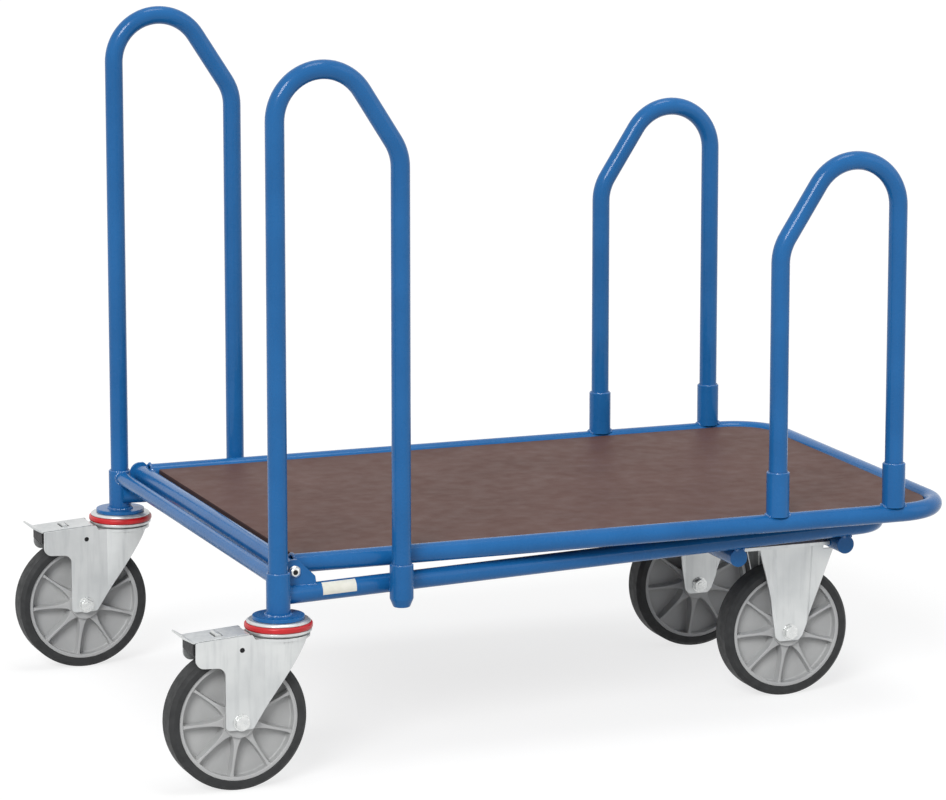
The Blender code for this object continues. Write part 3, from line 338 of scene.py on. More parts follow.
def post_fit(side, along):
    """What fits a tube's end against a post: direction, place, axis and radius."""
    return along, post_place(side), Z_AXIS, SLEEVE_D / 2


HINGE_FIT = (X_AXIS, HINGE, Y_AXIS, HINGE_TUBE_R)


# Materials


def new_material(name, metallic=0.0, specular=0.5):
    """A Principled material and the parts that its patterns need."""
    material = bpy.data.materials.new(name)
    material.use_nodes = True
    tree = material.node_tree
    shader = tree.nodes["Principled BSDF"]
    shader.inputs["Metallic"].default_value = metallic
    shader.inputs["Specular IOR Level"].default_value = specular
    return material, tree, shader


def feed(tree, value, socket):
    """Link another node's output to a socket, or set a plain number or colour there."""
    if isinstance(value, bpy.types.NodeSocket):
        tree.links.new(value, socket)
    else:
        socket.default_value = (*value, 1.0) if isinstance(value, tuple) else value


def arithmetic(tree, operation, *values):
    """The result of a Math node over plain numbers or other nodes' outputs."""
    node = tree.nodes.new("ShaderNodeMath")
    node.operation = operation
    for value, socket in zip(values, node.inputs):
        feed(tree, value, socket)
    return node.outputs["Value"]


def pattern(tree, scale, detail, stretch=(1, 1, 1)):
    """Noise over the object's own coordinates."""
    place = tree.nodes.new("ShaderNodeTexCoord")
    mapping = tree.nodes.new("ShaderNodeMapping")
    mapping.inputs["Scale"].default_value = stretch
    texture = tree.nodes.new("ShaderNodeTexNoise")
    texture.inputs["Scale"].default_value = scale
    texture.inputs["Detail"].default_value = detail
    tree.links.new(place.outputs["Object"], mapping.inputs["Vector"])
    tree.links.new(mapping.outputs["Vector"], texture.inputs["Vector"])
    return texture.outputs["Fac"]


def spread(tree, value, low_value=0.0, high_value=1.0, start=0.3, stop=0.7):
    """A pattern's values stretched to a range."""
    node = tree.nodes.new("ShaderNodeMapRange")
    node.inputs["From Min"].default_value = start
    node.inputs["From Max"].default_value = stop
    node.inputs["To Min"].default_value = low_value
    node.inputs["To Max"].default_value = high_value
    tree.links.new(value, node.inputs["Value"])
    return node.outputs["Result"]


def blend_colours(tree, share, first, second):
    """A colour between two, each a plain colour or another node's output."""
    node = tree.nodes.new("ShaderNodeMix")
    node.data_type = "RGBA"
    tree.links.new(share, node.inputs["Factor"])
    sockets = [socket for socket in node.inputs if socket.type == "RGBA"]
    for colour, socket in zip((first, second), sockets):
        feed(tree, colour, socket)
    return next(output for output in node.outputs if output.type == "RGBA")


def bump(tree, shader, height, distance, strength=1.0, under=None):
    """Relief on the surface, over another relief if there is one."""
    node = tree.nodes.new("ShaderNodeBump")
    node.inputs["Strength"].default_value = strength
    node.inputs["Distance"].default_value = distance
    tree.links.new(height, node.inputs["Height"])
    if under:
        tree.links.new(under, node.inputs["Normal"])
    tree.links.new(node.outputs["Normal"], shader.inputs["Normal"])
    return node.outputs["Normal"]


def dress(tree, shader, colour, roughness, relief):
    """Give a shader its colour, its roughness and a relief.

    The roughness is a number, or a pattern's scale and detail with the values that it runs between.
    The relief is a pattern's scale and detail with a distance and a strength.
    """
    feed(tree, colour, shader.inputs["Base Color"])
    if isinstance(roughness, tuple):
        roughness = spread(tree, pattern(tree, *roughness[:2]), *roughness[2:])
    feed(tree, roughness, shader.inputs["Roughness"])
    return bump(tree, shader, pattern(tree, *relief[:2]), *relief[2:])


def plain_finish(name, metallic, specular, clouds, first, second, roughness, relief):
    """Clouds between two colours over a fine relief."""
    material, tree, shader = new_material(name, metallic, specular)
    colour = blend_colours(tree, spread(tree, pattern(tree, *clouds)), first, second)
    dress(tree, shader, colour, roughness, relief)
    return material


def blue_paint(name, specular, roughness, coat, coat_roughness):
    """Powder coat: even blue with a fine orange peel."""
    material, tree, shader = new_material(name, specular=specular)
    patches = spread(tree, pattern(tree, 14.0, 3.0))
    colour = blend_colours(tree, patches, (0.0092, 0.113, 0.325), (0.0130, 0.132, 0.370))
    waves = dress(tree, shader, colour, roughness, (420.0, 2.0, 0.00008, 0.08))
    bump(tree, shader, pattern(tree, 45.0, 2.0), 0.0004, 0.10, waves)
    shader.inputs["Coat Weight"].default_value = coat
    shader.inputs["Coat Roughness"].default_value = coat_roughness
    return material


def zinc_plate():
    """Bright zinc on pressed sheet, with faint clouds and dark vertical streaks: drawing marks,
    darkened as painted reflection.
    """
    material, tree, shader = new_material("zinc_plate", metallic=0.70)
    clouds = spread(tree, pattern(tree, 16.0, 4.0))
    base = blend_colours(tree, clouds, (0.57, 0.588, 0.59), (0.70, 0.715, 0.71))
    # Dark vertical streaks: drawing marks, darkened to paint in the reflection of darker surroundings.
    painted_reflection_streaks = spread(tree, pattern(tree, 110.0, 6.0, (1.0, 1.0, 0.10)), 0.0, 0.60, 0.48, 0.76)
    colour = blend_colours(tree, painted_reflection_streaks, base, (0.47, 0.488, 0.494))
    dress(tree, shader, colour, (90.0, 6.0, 0.28, 0.38), (240.0, 5.0, 0.0001, 0.15))
    return material


def deck_plywood():
    """Brown film on plywood, with cloudy patches and light scuffs; the plies show at the edges, whose
    dark brown is partly sealing paint and partly painted shade.
    """
    material, tree, shader = new_material("deck_plywood", specular=0.10)
    clouds = spread(tree, pattern(tree, 9.0, 7.0))
    film = blend_colours(tree, clouds, (0.097, 0.049, 0.040), (0.123, 0.067, 0.057))
    grain = spread(tree, pattern(tree, 26.0, 8.0, (0.35, 2.6, 1.0)), 0.0, 1.0, 0.42, 0.68)
    film = blend_colours(tree, grain, film, (0.110, 0.058, 0.048))
    scuffs = spread(tree, pattern(tree, 11.0, 10.0, (1.6, 5.0, 1.0)), 0.0, 0.22, 0.60, 0.80)
    film = blend_colours(tree, scuffs, film, (0.17, 0.127, 0.114))
    plies = spread(tree, pattern(tree, 60.0, 3.0, (0.05, 0.05, 14.0)), 0.0, 1.0, 0.44, 0.56)
    # Upright edges: sealed brown with plies, made darker than the film as painted shade.
    edge = blend_colours(tree, plies, (0.050, 0.028, 0.023), (0.085, 0.050, 0.041))
    colour = blend_colours(tree, facing_up(tree), edge, film)
    dress(tree, shader, colour, (40.0, 6.0, 0.48, 0.62), (520.0, 4.0, 0.0002, 0.35))
    return material


def facing_up(tree):
    """1 on level faces and 0 on upright ones."""
    place = tree.nodes.new("ShaderNodeTexCoord")
    parts = tree.nodes.new("ShaderNodeSeparateXYZ")
    tree.links.new(place.outputs["Normal"], parts.inputs["Vector"])
    return spread(tree, arithmetic(tree, "ABSOLUTE", parts.outputs["Z"]), 0.0, 1.0, 0.4, 0.6)


# Name, metallic, specular, clouds, two colours, roughness and relief
PLAIN_FINISHES = (
    ("bolt_steel", 0.95, 0.5, (160.0, 5.0), (0.64, 0.655, 0.65), (0.76, 0.77, 0.76),
     (300.0, 4.0, 0.24, 0.34), (500.0, 3.0, 0.00004, 0.12)),
    # Near-black, for painted shade in holes: the hinge bolts' sockets and the pedal's pivot holes.
    ("painted_hole_shade", 0.0, 0.2, (300.0, 4.0), (0.007, 0.007, 0.008), (0.016, 0.016, 0.017),
     0.5, (700.0, 3.0, 0.00005, 0.2)),
    ("tyre_rubber", 0.0, 0.22, (70.0, 8.0), (0.030, 0.031, 0.032), (0.044, 0.045, 0.046),
     (110.0, 5.0, 0.50, 0.72), (900.0, 4.0, 0.00015, 0.35)),
    ("rim_plastic", 0.0, 0.45, (30.0, 5.0), (0.424, 0.429, 0.430), (0.477, 0.482, 0.480),
     (120.0, 4.0, 0.36, 0.54), (1200.0, 3.0, 0.0001, 0.25)),
    ("red_plastic", 0.0, 0.5, (60.0, 4.0), (0.50, 0.008, 0.012), (0.62, 0.013, 0.018),
     (200.0, 3.0, 0.26, 0.40), (900.0, 3.0, 0.0001, 0.2)),
    ("bush_plastic", 0.0, 0.5, (120.0, 4.0), (0.17, 0.17, 0.17), (0.22, 0.22, 0.22),
     0.5, (900.0, 3.0, 0.0001, 0.25)),
    ("black_rubber", 0.0, 0.35, (150.0, 6.0), (0.011, 0.011, 0.012), (0.022, 0.022, 0.023),
     (200.0, 5.0, 0.48, 0.68), (1000.0, 3.0, 0.00015, 0.35)),
    ("label_card", 0.0, 0.5, (90.0, 4.0), (0.70, 0.69, 0.60), (0.78, 0.77, 0.69),
     0.35, (300.0, 3.0, 0.0001, 0.25)),
)
MATERIALS = {
    "blue_paint": blue_paint("blue_paint", 0.10, (60.0, 4.0, 0.22, 0.32), 0.30, 0.08),
    "weld_paint": blue_paint("weld_paint", 0.40, (60.0, 4.0, 0.12, 0.22), 0.80, 0.05),
    "zinc_plate": zinc_plate(),
    "deck_plywood": deck_plywood(),
}
MATERIALS.update({finish[0]: plain_finish(*finish) for finish in PLAIN_FINISHES})


# Shown pieces


def make_mesh(name, builder):
    """A mesh from a shape, its faces turned outwards."""
    bmesh.ops.recalc_face_normals(builder, faces=builder.faces[:])
    mesh = bpy.data.meshes.new(name)
    builder.to_mesh(mesh)
    builder.free()
    return mesh


def place_object(name, data):
    """An object in the scene."""
    thing = bpy.data.objects.new(name, data)
    bpy.context.scene.collection.objects.link(thing)
    return thing


def add_piece(name, builder, finish, body, *nodes, edge=0.0, crease_deg=CREASE_DEG):
    """A shown piece that rides on a body and stands for its nodes; its sharp edges may be rounded."""
    mesh = make_mesh(name, builder)
    mesh.shade_smooth()
    mesh.set_sharp_from_angle(angle=math.radians(crease_deg))
    mesh.materials.append(MATERIALS[finish])
    piece = place_object(name, mesh)
    if edge:
        bevel = piece.modifiers.new("edges", "BEVEL")
        bevel.width = edge
        bevel.segments = BEVEL_SEGMENTS
        bevel.limit_method = "ANGLE"
        bevel.angle_limit = math.radians(BEVEL_LIMIT_DEG)
        bevel.harden_normals = True
    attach(piece, body)
    if nodes:
        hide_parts(*nodes)
    return piece


# Shapes


def rounded(corners, radius, closed=False):
    """A polyline whose corners are bent to one radius, or to a radius each."""
    corners = [Vector(corner).to_3d() for corner in corners]
    count = len(corners)
    radii = radius if isinstance(radius, list) else [radius] * count
    points = []
    for index, corner in enumerate(corners):
        before = corners[index - 1]
        after = corners[(index + 1) % count]
        if radii[index] == 0 or (not closed and index in (0, count - 1)):
            points.append(corner)
            continue
        arriving = (corner - before).normalized()
        leaving = (after - corner).normalized()
        turn = arriving.angle(leaving)
        start = corner - arriving * radii[index] * math.tan(turn / 2)
        inward = (leaving - arriving * arriving.dot(leaving)).normalized()
        middle = start + inward * radii[index]
        steps = max(2, math.ceil(math.degrees(turn) / ARC_STEP_DEG))
        for step in range(steps + 1):
            angle = turn * step / steps
            offset = arriving * math.sin(angle) - inward * math.cos(angle)
            points.append(middle + offset * radii[index])
    return points


def ring_of(builder, point, across, upright, radius, sides):
    """One round section."""
    ring = []
    for side in range(sides):
        angle = 2 * math.pi * side / sides
        offset = across * math.cos(angle) + upright * math.sin(angle)
        ring.append(builder.verts.new(point + offset * radius))
    return ring


def sweep_rings(builder, points, normal, radius, sides, closed=False):
    """Round sections along a path, mitred where it turns; the radius may change along it."""
    rings = []
    last = len(points) - 1
    for index, point in enumerate(points):
        before = points[index - 1] if closed or index > 0 else point
        after = points[(index + 1) % len(points)] if closed or index < last else point
        arriving = (point - before).normalized()
        leaving = (after - point).normalized()
        tangent = (arriving + leaving).normalized()
        turning = arriving.length > 0 and leaving.length > 0
        half_turn = arriving.angle(leaving) / 2 if turning else 0.0
        across = normal.cross(tangent).normalized()
        upright = tangent.cross(across)
        size = radius[index] if isinstance(radius, list) else radius
        rings.append(ring_of(builder, point, across / math.cos(half_turn), upright, size, sides))
    return rings


def skin(builder, rings, closed=False):
    """Faces between neighbouring rings."""
    pairs = list(zip(rings, rings[1:]))
    if closed:
        pairs.append((rings[-1], rings[0]))
    for ring, following in pairs:
        for side in range(len(ring)):
            other = (side + 1) % len(ring)
            builder.faces.new([ring[side], ring[other], following[other], following[side]])


def capped(builder, rows):
    """A shape skinned over its rows and closed at both ends."""
    skin(builder, rows)
    builder.faces.new(rows[0])
    builder.faces.new(rows[-1])
    return builder


def tube(points, normal, diameter, wall, *fits):
    """A round tube along a path; each fit slides an end clear of a round bar, as slide_clear does."""
    builder = bmesh.new()
    outer = sweep_rings(builder, points, normal, diameter / 2, TUBE_SIDES)
    inner = sweep_rings(builder, points, normal, diameter / 2 - wall, TUBE_SIDES)
    for rings in (outer, inner):
        for ring, fit in zip((rings[0], rings[-1]), fits):
            for vertex in ring:
                vertex.co = slide_clear(vertex.co, *fit)
    skin(builder, outer)
    skin(builder, inner)
    for big, small in ((outer[0], inner[0]), (outer[-1], inner[-1])):
        skin(builder, [big, small])
    return builder


def slide_clear(point, direction, place, axis, radius):
    """A point inside a round bar, moved along a direction to the bar's surface."""
    offset = point - place
    offset -= axis * axis.dot(offset)
    run = direction - axis * axis.dot(direction)
    square = run.dot(run)
    along = offset.dot(run)
    root = along**2 - square * (offset.dot(offset) - radius**2)
    if root <= 0:
        return point.copy()
    return point + direction * max(0.0, (math.sqrt(root) - along) / square)


def box_corners(start_x, stop_x, start_z, stop_z):
    """The four corners of a rectangle."""
    return [(start_x, start_z), (stop_x, start_z), (stop_x, stop_z), (start_x, stop_z)]


def turned(corners, radii, place, axis="Z", sides=DISC_SIDES):
    """A closed profile of (radius, height) with rounded corners, turned round an axis."""
    builder = bmesh.new()
    profile = rounded(corners, radii, closed=True)
    rows = []
    for point in profile:
        row = []
        for side in range(sides):
            angle = 2 * math.pi * side / sides
            across = point.x * math.cos(angle)
            upright = point.x * math.sin(angle)
            offset = (across, upright, point.y) if axis == "Z" else (across, point.y, upright)
            row.append(builder.verts.new(place + Vector(offset)))
        rows.append(row)
    skin(builder, rows, closed=profile[0].x > 0 and profile[-1].x > 0)
    bmesh.ops.remove_doubles(builder, verts=builder.verts[:], dist=MERGE_DISTANCE)
    return builder


def add_turned(name, corners, radii, place, finish, body, node, axis="Z"):
    """A turned piece with rounded corners."""
    add_piece(name, turned(corners, radii, place, axis), finish, body, node)


def bar(radius, start, stop, place, axis="Y"):
    """A plain round bar between two places on an axis."""
    return turned(box_corners(0, radius, start, stop), 0.0, place, axis, TUBE_SIDES)


def plate(corners, radii, start, stop, axis="Y"):
    """An outline with rounded corners, extruded between two places on an axis."""
    outline = rounded(corners, radii, closed=True)
    builder = bmesh.new()
    sheets = []
    for place in (start, stop):
        spots = [(p.x, place, p.y) if axis == "Y" else (p.x, p.y, place) for p in outline]
        sheets.append([builder.verts.new(spot) for spot in spots])
    builder.faces.new(sheets[0])
    builder.faces.new(sheets[1])
    skin(builder, sheets)
    bmesh.ops.recalc_face_normals(builder, faces=builder.faces[:])
    return builder


def slice_up(builder, axis, start, stop, count):
    """Cut a shape by evenly spaced planes, so that it can bend."""
    for index in range(1, count):
        place = axis * (start + (stop - start) * index / count)
        geometry = builder.verts[:] + builder.edges[:] + builder.faces[:]
        bmesh.ops.bisect_plane(builder, geom=geometry, plane_co=place, plane_no=axis)


def merge(builder, *others):
    """Add other shapes to a shape."""
    for other in others:
        mesh = make_mesh("merged", other)
        builder.from_mesh(mesh)
        bpy.data.meshes.remove(mesh)
    return builder


# Welds


def evenly(points, closed):
    """The points of a path at even steps, with the distance run at each."""
    if closed:
        points = points + points[:1]
    spots = []
    run = 0.0
    for point, following in zip(points, points[1:]):
        length = (following - point).length
        steps = max(1, round(length / WELD_STEP))
        for step in range(steps):
            spots.append((point.lerp(following, step / steps), run + length * step / steps))
        run += length
    if not closed:
        spots.append((points[-1], run))
    return spots


def bead(points, normal, radius, closed=False):
    """A weld bead: overlapping, slightly uneven ripples along a path."""
    spots = evenly(points, closed)
    sizes = []
    for spot, run in spots:
        ripple = abs(math.sin(math.pi * run / RIPPLE_PITCH))
        rough = noise.noise(spot * WELD_NOISE_SCALE)
        sizes.append(radius * (1 - RIPPLE_SHARE + RIPPLE_SHARE * ripple + WELD_NOISE_SHARE * rough))
    builder = bmesh.new()
    rings = sweep_rings(builder, [spot for spot, run in spots], normal, sizes, BEAD_SIDES, closed)
    skin(builder, rings, closed)
    if not closed:
        for ring in (rings[0], rings[-1]):
            middle = sum((vertex.co for vertex in ring), Vector()) / len(ring)
            tip = builder.verts.new(middle)
            for side in range(len(ring)):
                builder.faces.new([ring[side], ring[(side + 1) % len(ring)], tip])
    return builder


def seam(place):
    """A fine bead round a hoop's leg where it enters its sleeve."""
    return bead(circle(place, X_AXIS, Y_AXIS, TUBE_D / 2 + SEAM_R), Z_AXIS, SEAM_R, True)


def circle(place, first, second, radius, start_deg=0.0, stop_deg=360.0):
    """Points round a place; the last is left out of a full circle."""
    full = stop_deg - start_deg == 360.0
    steps = math.ceil((stop_deg - start_deg) / ARC_STEP_DEG)
    points = []
    for step in range(steps if full else steps + 1):
        angle = math.radians(start_deg + (stop_deg - start_deg) * step / steps)
        points.append(place + (first * math.cos(angle) + second * math.sin(angle)) * radius)
    return points


# Chassis


def build_chassis_frame():
    """The bent chassis tube, its rear ends fitted against the posts."""
    corners = []
    for x, side in ((POST_X, -1), (CHASSIS_FRONT_X, -1), (CHASSIS_FRONT_X, 1), (POST_X, 1)):
        corners.append((x, side * rail_y(x), CHASSIS_Z))
    fits = [post_fit(side, Vector((1, -side * RAIL_SLOPE, 0))) for side in SIDES.values()]
    shape = tube(rounded(corners, CHASSIS_BEND_R), Z_AXIS, TUBE_D, TUBE_WALL, *fits)
    add_piece("chassis_tube", shape, "blue_paint", "chassis", "chassis_frame")


def build_rear_crossbar():
    """The thin tube between the posts."""
    ends = [Vector((POST_X, side * POST_Y, CROSSBAR_Z)) for side in SIDES.values()]
    fits = [post_fit(side, -side * Y_AXIS) for side in SIDES.values()]
    shape = tube(ends, Z_AXIS, CROSSBAR_D, CROSSBAR_WALL, *fits)
    add_piece("rear_crossbar_tube", shape, "blue_paint", "chassis", "rear_crossbar")


def build_post(side_name, side):
    """A post with its flange."""
    bore = TUBE_D / 2 + GAP
    corners = [
        (KINGPIN_R + GAP, FLANGE_Z),
        (FLANGE_R, FLANGE_Z),
        (FLANGE_R, FLANGE_TOP_Z),
        (SLEEVE_D / 2, FLANGE_TOP_Z),
        (SLEEVE_D / 2, POST_TOP_Z),
        (bore, POST_TOP_Z),
        (bore, FLANGE_TOP_Z),
        (KINGPIN_R + GAP, FLANGE_TOP_Z),
    ]
    radii = [0, EDGE_ROUND, EDGE_ROUND, 0, EDGE_ROUND, EDGE_ROUND, 0, 0]
    name = "post_tube_" + side_name
    add_turned(name, corners, radii, post_place(side), "blue_paint", "chassis", "post_" + side_name)


def build_cross_tube(name):
    """A straight tube under the rails, closed at its ends."""
    corners = box_corners(0, TUBE_D / 2, -high(name).y, high(name).y)
    radii = [0, EDGE_ROUND, EDGE_ROUND, 0]
    place = Vector((centre(name).x, 0, centre(name).z))
    add_turned(name + "_round", corners, radii, place, "blue_paint", "chassis", name, "Y")


def build_gusset(side_name):
    """The plate that carries the platform's hinge."""
    node = "hinge_gusset_" + side_name
    start = low(node).x
    top = high(node).z
    corners = [
        (start, CHASSIS_Z),
        (start + GUSSET_FOOT, CHASSIS_Z),
        (start + GUSSET_FOOT, CHASSIS_Z + TUBE_D / 2),
        (start + GUSSET_SHOULDER, top - GUSSET_SHOULDER_DROP),
        (start + GUSSET_TOP_L, top),
        (start, top),
    ]
    radii = [0, 0, SHEET_ROUND, GUSSET_ROUND, GUSSET_ROUND, GUSSET_TOP_R]
    shape = plate(corners, radii, low(node).y, high(node).y)
    add_piece("hinge_plate_" + side_name, shape, "blue_paint", "chassis", node, edge=PLATE_EDGE)


def build_hoop_socket(side_name):
    """The cup on the rail that takes the rear hoop's front leg."""
    node = "hoop_socket_" + side_name
    bottom = low(node).z
    top = high(node).z
    outer = SLEEVE_D / 2
    bore = TUBE_D / 2 + GAP
    corners = [
        (0, bottom),
        (outer - SOCKET_CHAMFER, bottom),
        (outer, bottom + SOCKET_CHAMFER_H),
        (outer, top),
        (bore, top),
        (bore, bottom + SOCKET_FLOOR),
        (0, bottom + SOCKET_FLOOR),
    ]
    radii = [0, 2 * EDGE_ROUND, SOCKET_CHAMFER, EDGE_ROUND, EDGE_ROUND, 0, 0]
    place = on_axis(node, 0)
    add_turned("hoop_cup_" + side_name, corners, radii, place, "blue_paint", "chassis", node)


def hoop_corners(spacing, top_z, slant_leg_bottom, arc_leg_bottom):
    """The hoop's polyline in its own plane: the full bend at 0, the slanted side at the spacing."""
    slant = math.radians(HOOP_SLANT_DEG)
    middle_z = top_z - TUBE_D / 2 - HOOP_BEND_R
    reach = HOOP_BEND_R * (1 + math.cos(slant)) + middle_z * math.sin(slant)
    apex_z = reach / math.sin(slant)
    knee_z = (reach - spacing * math.cos(slant)) / math.sin(slant)
    return [(0.0, arc_leg_bottom), (0.0, apex_z), (spacing, knee_z), (spacing, slant_leg_bottom)]


def build_rear_hoop(side_name, side):
    """A high hoop, from the post to the cup on the rail."""
    node = "rear_hoop_" + side_name
    socket = centre("hoop_socket_" + side_name)
    spacing = socket.x - POST_X
    post_leg_z = high("kingpin_" + side_name).z + GAP
    toe = (socket.y - side * POST_Y) / spacing
    corners = hoop_corners(spacing, high(node).z, low(node).z, post_leg_z)
    places = [(POST_X + run, side * POST_Y + toe * run, z) for run, z in corners]
    normal = Vector((1, toe, 0)).cross(Z_AXIS).normalized()
    shape = tube(rounded(places, HOOP_BEND_R), normal, TUBE_D, TUBE_WALL)
    add_piece("high_hoop_" + side_name, shape, "blue_paint", "chassis", node)


def build_rest_pad(side_name):
    """A rubber buffer between a rail and the platform's front support."""
    node = "rest_pad_" + side_name
    radius = high(node).x - centre(node).x
    corners = box_corners(0, radius, low(node).z, high(node).z)
    radii = [0, EDGE_ROUND, 2 * EDGE_ROUND, 0]
    shape = turned(corners, radii, on_axis(node, 0), sides=TUBE_SIDES)
    add_piece("rest_buffer_" + side_name, shape, "black_rubber", "chassis", node)


def build_hinge_bolt(side_name, side):
    """The button-head bolt of the hinge, with its socket and its spacer; a black plug in the socket is
    painted shade.
    """
    node = "hinge_bolt_" + side_name
    ends = sorted((abs(low(node).y), abs(high(node).y)))
    face = ends[1] - BOLT_HEAD_H
    spacer_r = high(node).z - centre(node).z
    plate_inner = min(abs(corner.y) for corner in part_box("hinge_gusset_" + side_name))
    tube_end = high("platform_hinge_tube").y
    well_floor = ends[1] - BOLT_SOCKET_DEPTH
    head = [
        (0, well_floor),
        (BOLT_SOCKET_R, well_floor),
        (BOLT_SOCKET_R, ends[1]),
        (BOLT_HEAD_R * BOLT_FLAT_SHARE, ends[1]),
        (BOLT_HEAD_R, face + BOLT_HEAD_H * BOLT_SKIRT_SHARE),
        (BOLT_HEAD_R, face),
        (0, face),
    ]
    radii = [0, 0, EDGE_ROUND / 2, BOLT_HEAD_R / 2, 0, 0, 0]
    place = Vector((centre(node).x, 0, centre(node).z))
    shape = turned([(radius, side * y) for radius, y in head], radii, place, "Y")
    merge(shape, bar(AXLE_R - THREAD_END, side * ends[0], side * face, place))
    spacer = box_corners(AXLE_R, spacer_r, side * (tube_end + GAP), side * (plate_inner - GAP))
    merge(shape, turned(spacer, 0.0, place, "Y", TUBE_SIDES))
    add_piece("hinge_screw_" + side_name, shape, "bolt_steel", "chassis", node)
    # A near-black plug inside the socket, below the head's face: painted shade in the hole.
    well = bar(BOLT_SOCKET_R, side * well_floor, side * (ends[1] - BOLT_WELL_DROP), place)
    add_piece("hinge_screw_socket_shade_" + side_name, well, "painted_hole_shade", "chassis")


def build_card():
    """The bare card on the right rail, bent round the tube."""
    builder = bmesh.new()
    rows = []
    reach = TUBE_D / 2 + CARD_T
    for radius in (TUBE_D / 2, reach):
        for step in range(CARD_STEPS + 1):
            share = step / CARD_STEPS if radius < reach else 1 - step / CARD_STEPS
            angle = math.radians(CARD_LOW_DEG + (CARD_HIGH_DEG - CARD_LOW_DEG) * share)
            row = []
            for run in (CARD_START, CARD_START + CARD_L):
                y = -rail_y(POST_X + run) - radius * math.cos(angle)
                row.append(builder.verts.new((POST_X + run, y, CHASSIS_Z + radius * math.sin(angle))))
            rows.append(row)
    for row, following in zip(rows, rows[1:] + rows[:1]):
        builder.faces.new([row[0], row[1], following[1], following[0]])
    builder.faces.new([row[0] for row in rows])
    builder.faces.new([row[1] for row in rows])
    add_piece("rail_card", builder, "label_card", "chassis")


def post_welds(side):
    """The beads at a post's foot and top and at the tubes that end on it."""
    post = post_place(side)
    foot = Vector((post.x, post.y, FLANGE_TOP_Z))
    yield bead(circle(foot, X_AXIS, Y_AXIS, FOOT_WELD_R), Z_AXIS, WELD_R, True)
    yield seam(Vector((post.x, post.y, POST_TOP_Z)))
    ring = circle(Vector((POST_X, post.y, CROSSBAR_Z)), X_AXIS, Z_AXIS, CROSSBAR_D / 2)
    path = [slide_clear(p, *post_fit(side, -side * Y_AXIS)) for p in ring]
    yield bead(path, side * Y_AXIS, SMALL_WELD_R, True)
    rail = Vector((POST_X, side * rail_y(POST_X), CHASSIS_Z))
    along = Vector((1, -side * RAIL_SLOPE, 0)).normalized()
    outward = Vector((side * RAIL_SLOPE, 1, 0)).normalized() * side
    arc = circle(rail, outward, Z_AXIS, TUBE_D / 2, -RAIL_WELD_DEG, RAIL_WELD_DEG)
    path = [slide_clear(p, *post_fit(side, along)) for p in arc]
    yield bead(path, along, WELD_R)


def rail_welds(side_name, side):
    """The beads at the cup, the hinge plate and the cross tubes on a rail."""
    cup = "hoop_socket_" + side_name
    yield seam(on_axis(cup, high(cup).z))
    for x in (centre(cup).x - SOCKET_WELD_OFFSET, centre(cup).x + SOCKET_WELD_OFFSET):
        y = side * (rail_y(x) + TUBE_D / 2)
        line = [Vector((x, y, CHASSIS_Z + rise)) for rise in (-SOCKET_WELD_RISE, SOCKET_WELD_RISE)]
        yield bead(line, X_AXIS, WELD_R)
    start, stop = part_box("hinge_gusset_" + side_name)
    for y in (start.y, stop.y):
        drop = abs(y) - rail_y(stop.x)
        z = CHASSIS_Z + math.sqrt((TUBE_D / 2) ** 2 - drop**2)
        yield bead([Vector((start.x, y, z)), Vector((stop.x, y, z))], Z_AXIS, SMALL_WELD_R)
    for name in CROSS_TUBES:
        z = (centre(name).z + CHASSIS_Z) / 2
        for offset in (-CROSS_WELD_OFFSET, CROSS_WELD_OFFSET):
            x = centre(name).x + offset
            reach = (rail_y(x) - CROSS_WELD_HALF_L, rail_y(x) + CROSS_WELD_HALF_L)
            yield bead([Vector((x, side * y, z)) for y in reach], Z_AXIS, WELD_R)


def fork_welds(side_name):
    """The beads between a fixed fork's plate and the cross tubes."""
    start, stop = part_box("fixed_fork_" + side_name)
    for x in (high(CROSS_TUBES[0]).x, low(CROSS_TUBES[1]).x):
        for z in (stop.z - FIXED_PLATE_T, stop.z):
            line = [Vector((x, y, z)) for y in (start.y + WELD_R, stop.y - WELD_R)]
            yield bead(line, Z_AXIS, SMALL_WELD_R)


def build_chassis_welds():
    """The beads at every joint of the chassis."""
    beads = []
    for side_name, side in SIDES.items():
        beads += [*post_welds(side), *rail_welds(side_name, side), *fork_welds(side_name)]
    add_piece("chassis_welds", merge(bmesh.new(), *beads), "weld_paint", "chassis")


# Platform


def build_platform_frame():
    """The bent tube round the deck, its rear ends fitted against the hinge tube."""
    start = HINGE.x + HINGE_TUBE_R / 2
    corners = []
    for x, side in ((start, -1), (PLATFORM_FRONT_X, -1), (PLATFORM_FRONT_X, 1), (start, 1)):
        corners.append((x, side * PLATFORM_Y, PLATFORM_Z))
    path = rounded(corners, PLATFORM_BEND_R)
    shape = tube(path, Z_AXIS, TUBE_D, TUBE_WALL, HINGE_FIT, HINGE_FIT)
    add_piece("platform_tube", shape, "blue_paint", "platform", "platform_frame")


def build_hinge_tube():
    """The platform's rear tube, closed at its rounded ends."""
    node = "platform_hinge_tube"
    corners = box_corners(0, HINGE_TUBE_R, -high(node).y, high(node).y)
    radii = [0, 2 * EDGE_ROUND, 2 * EDGE_ROUND, 0]
    place = Vector((HINGE.x, 0, HINGE.z))
    add_turned("hinge_tube_round", corners, radii, place, "blue_paint", "platform", node, "Y")


def build_deck():
    """The plywood board."""
    node = "deck_board"
    radius = PLATFORM_BEND_R - TUBE_D / 2 - GAP
    start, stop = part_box(node)
    corners = box_corners(start.x, stop.x, start.y, stop.y)
    radii = [2 * EDGE_ROUND, radius, radius, 2 * EDGE_ROUND]
    shape = plate(corners, radii, start.z, stop.z, "Z")
    add_piece("deck_panel", shape, "deck_plywood", "platform", node, edge=DECK_EDGE)


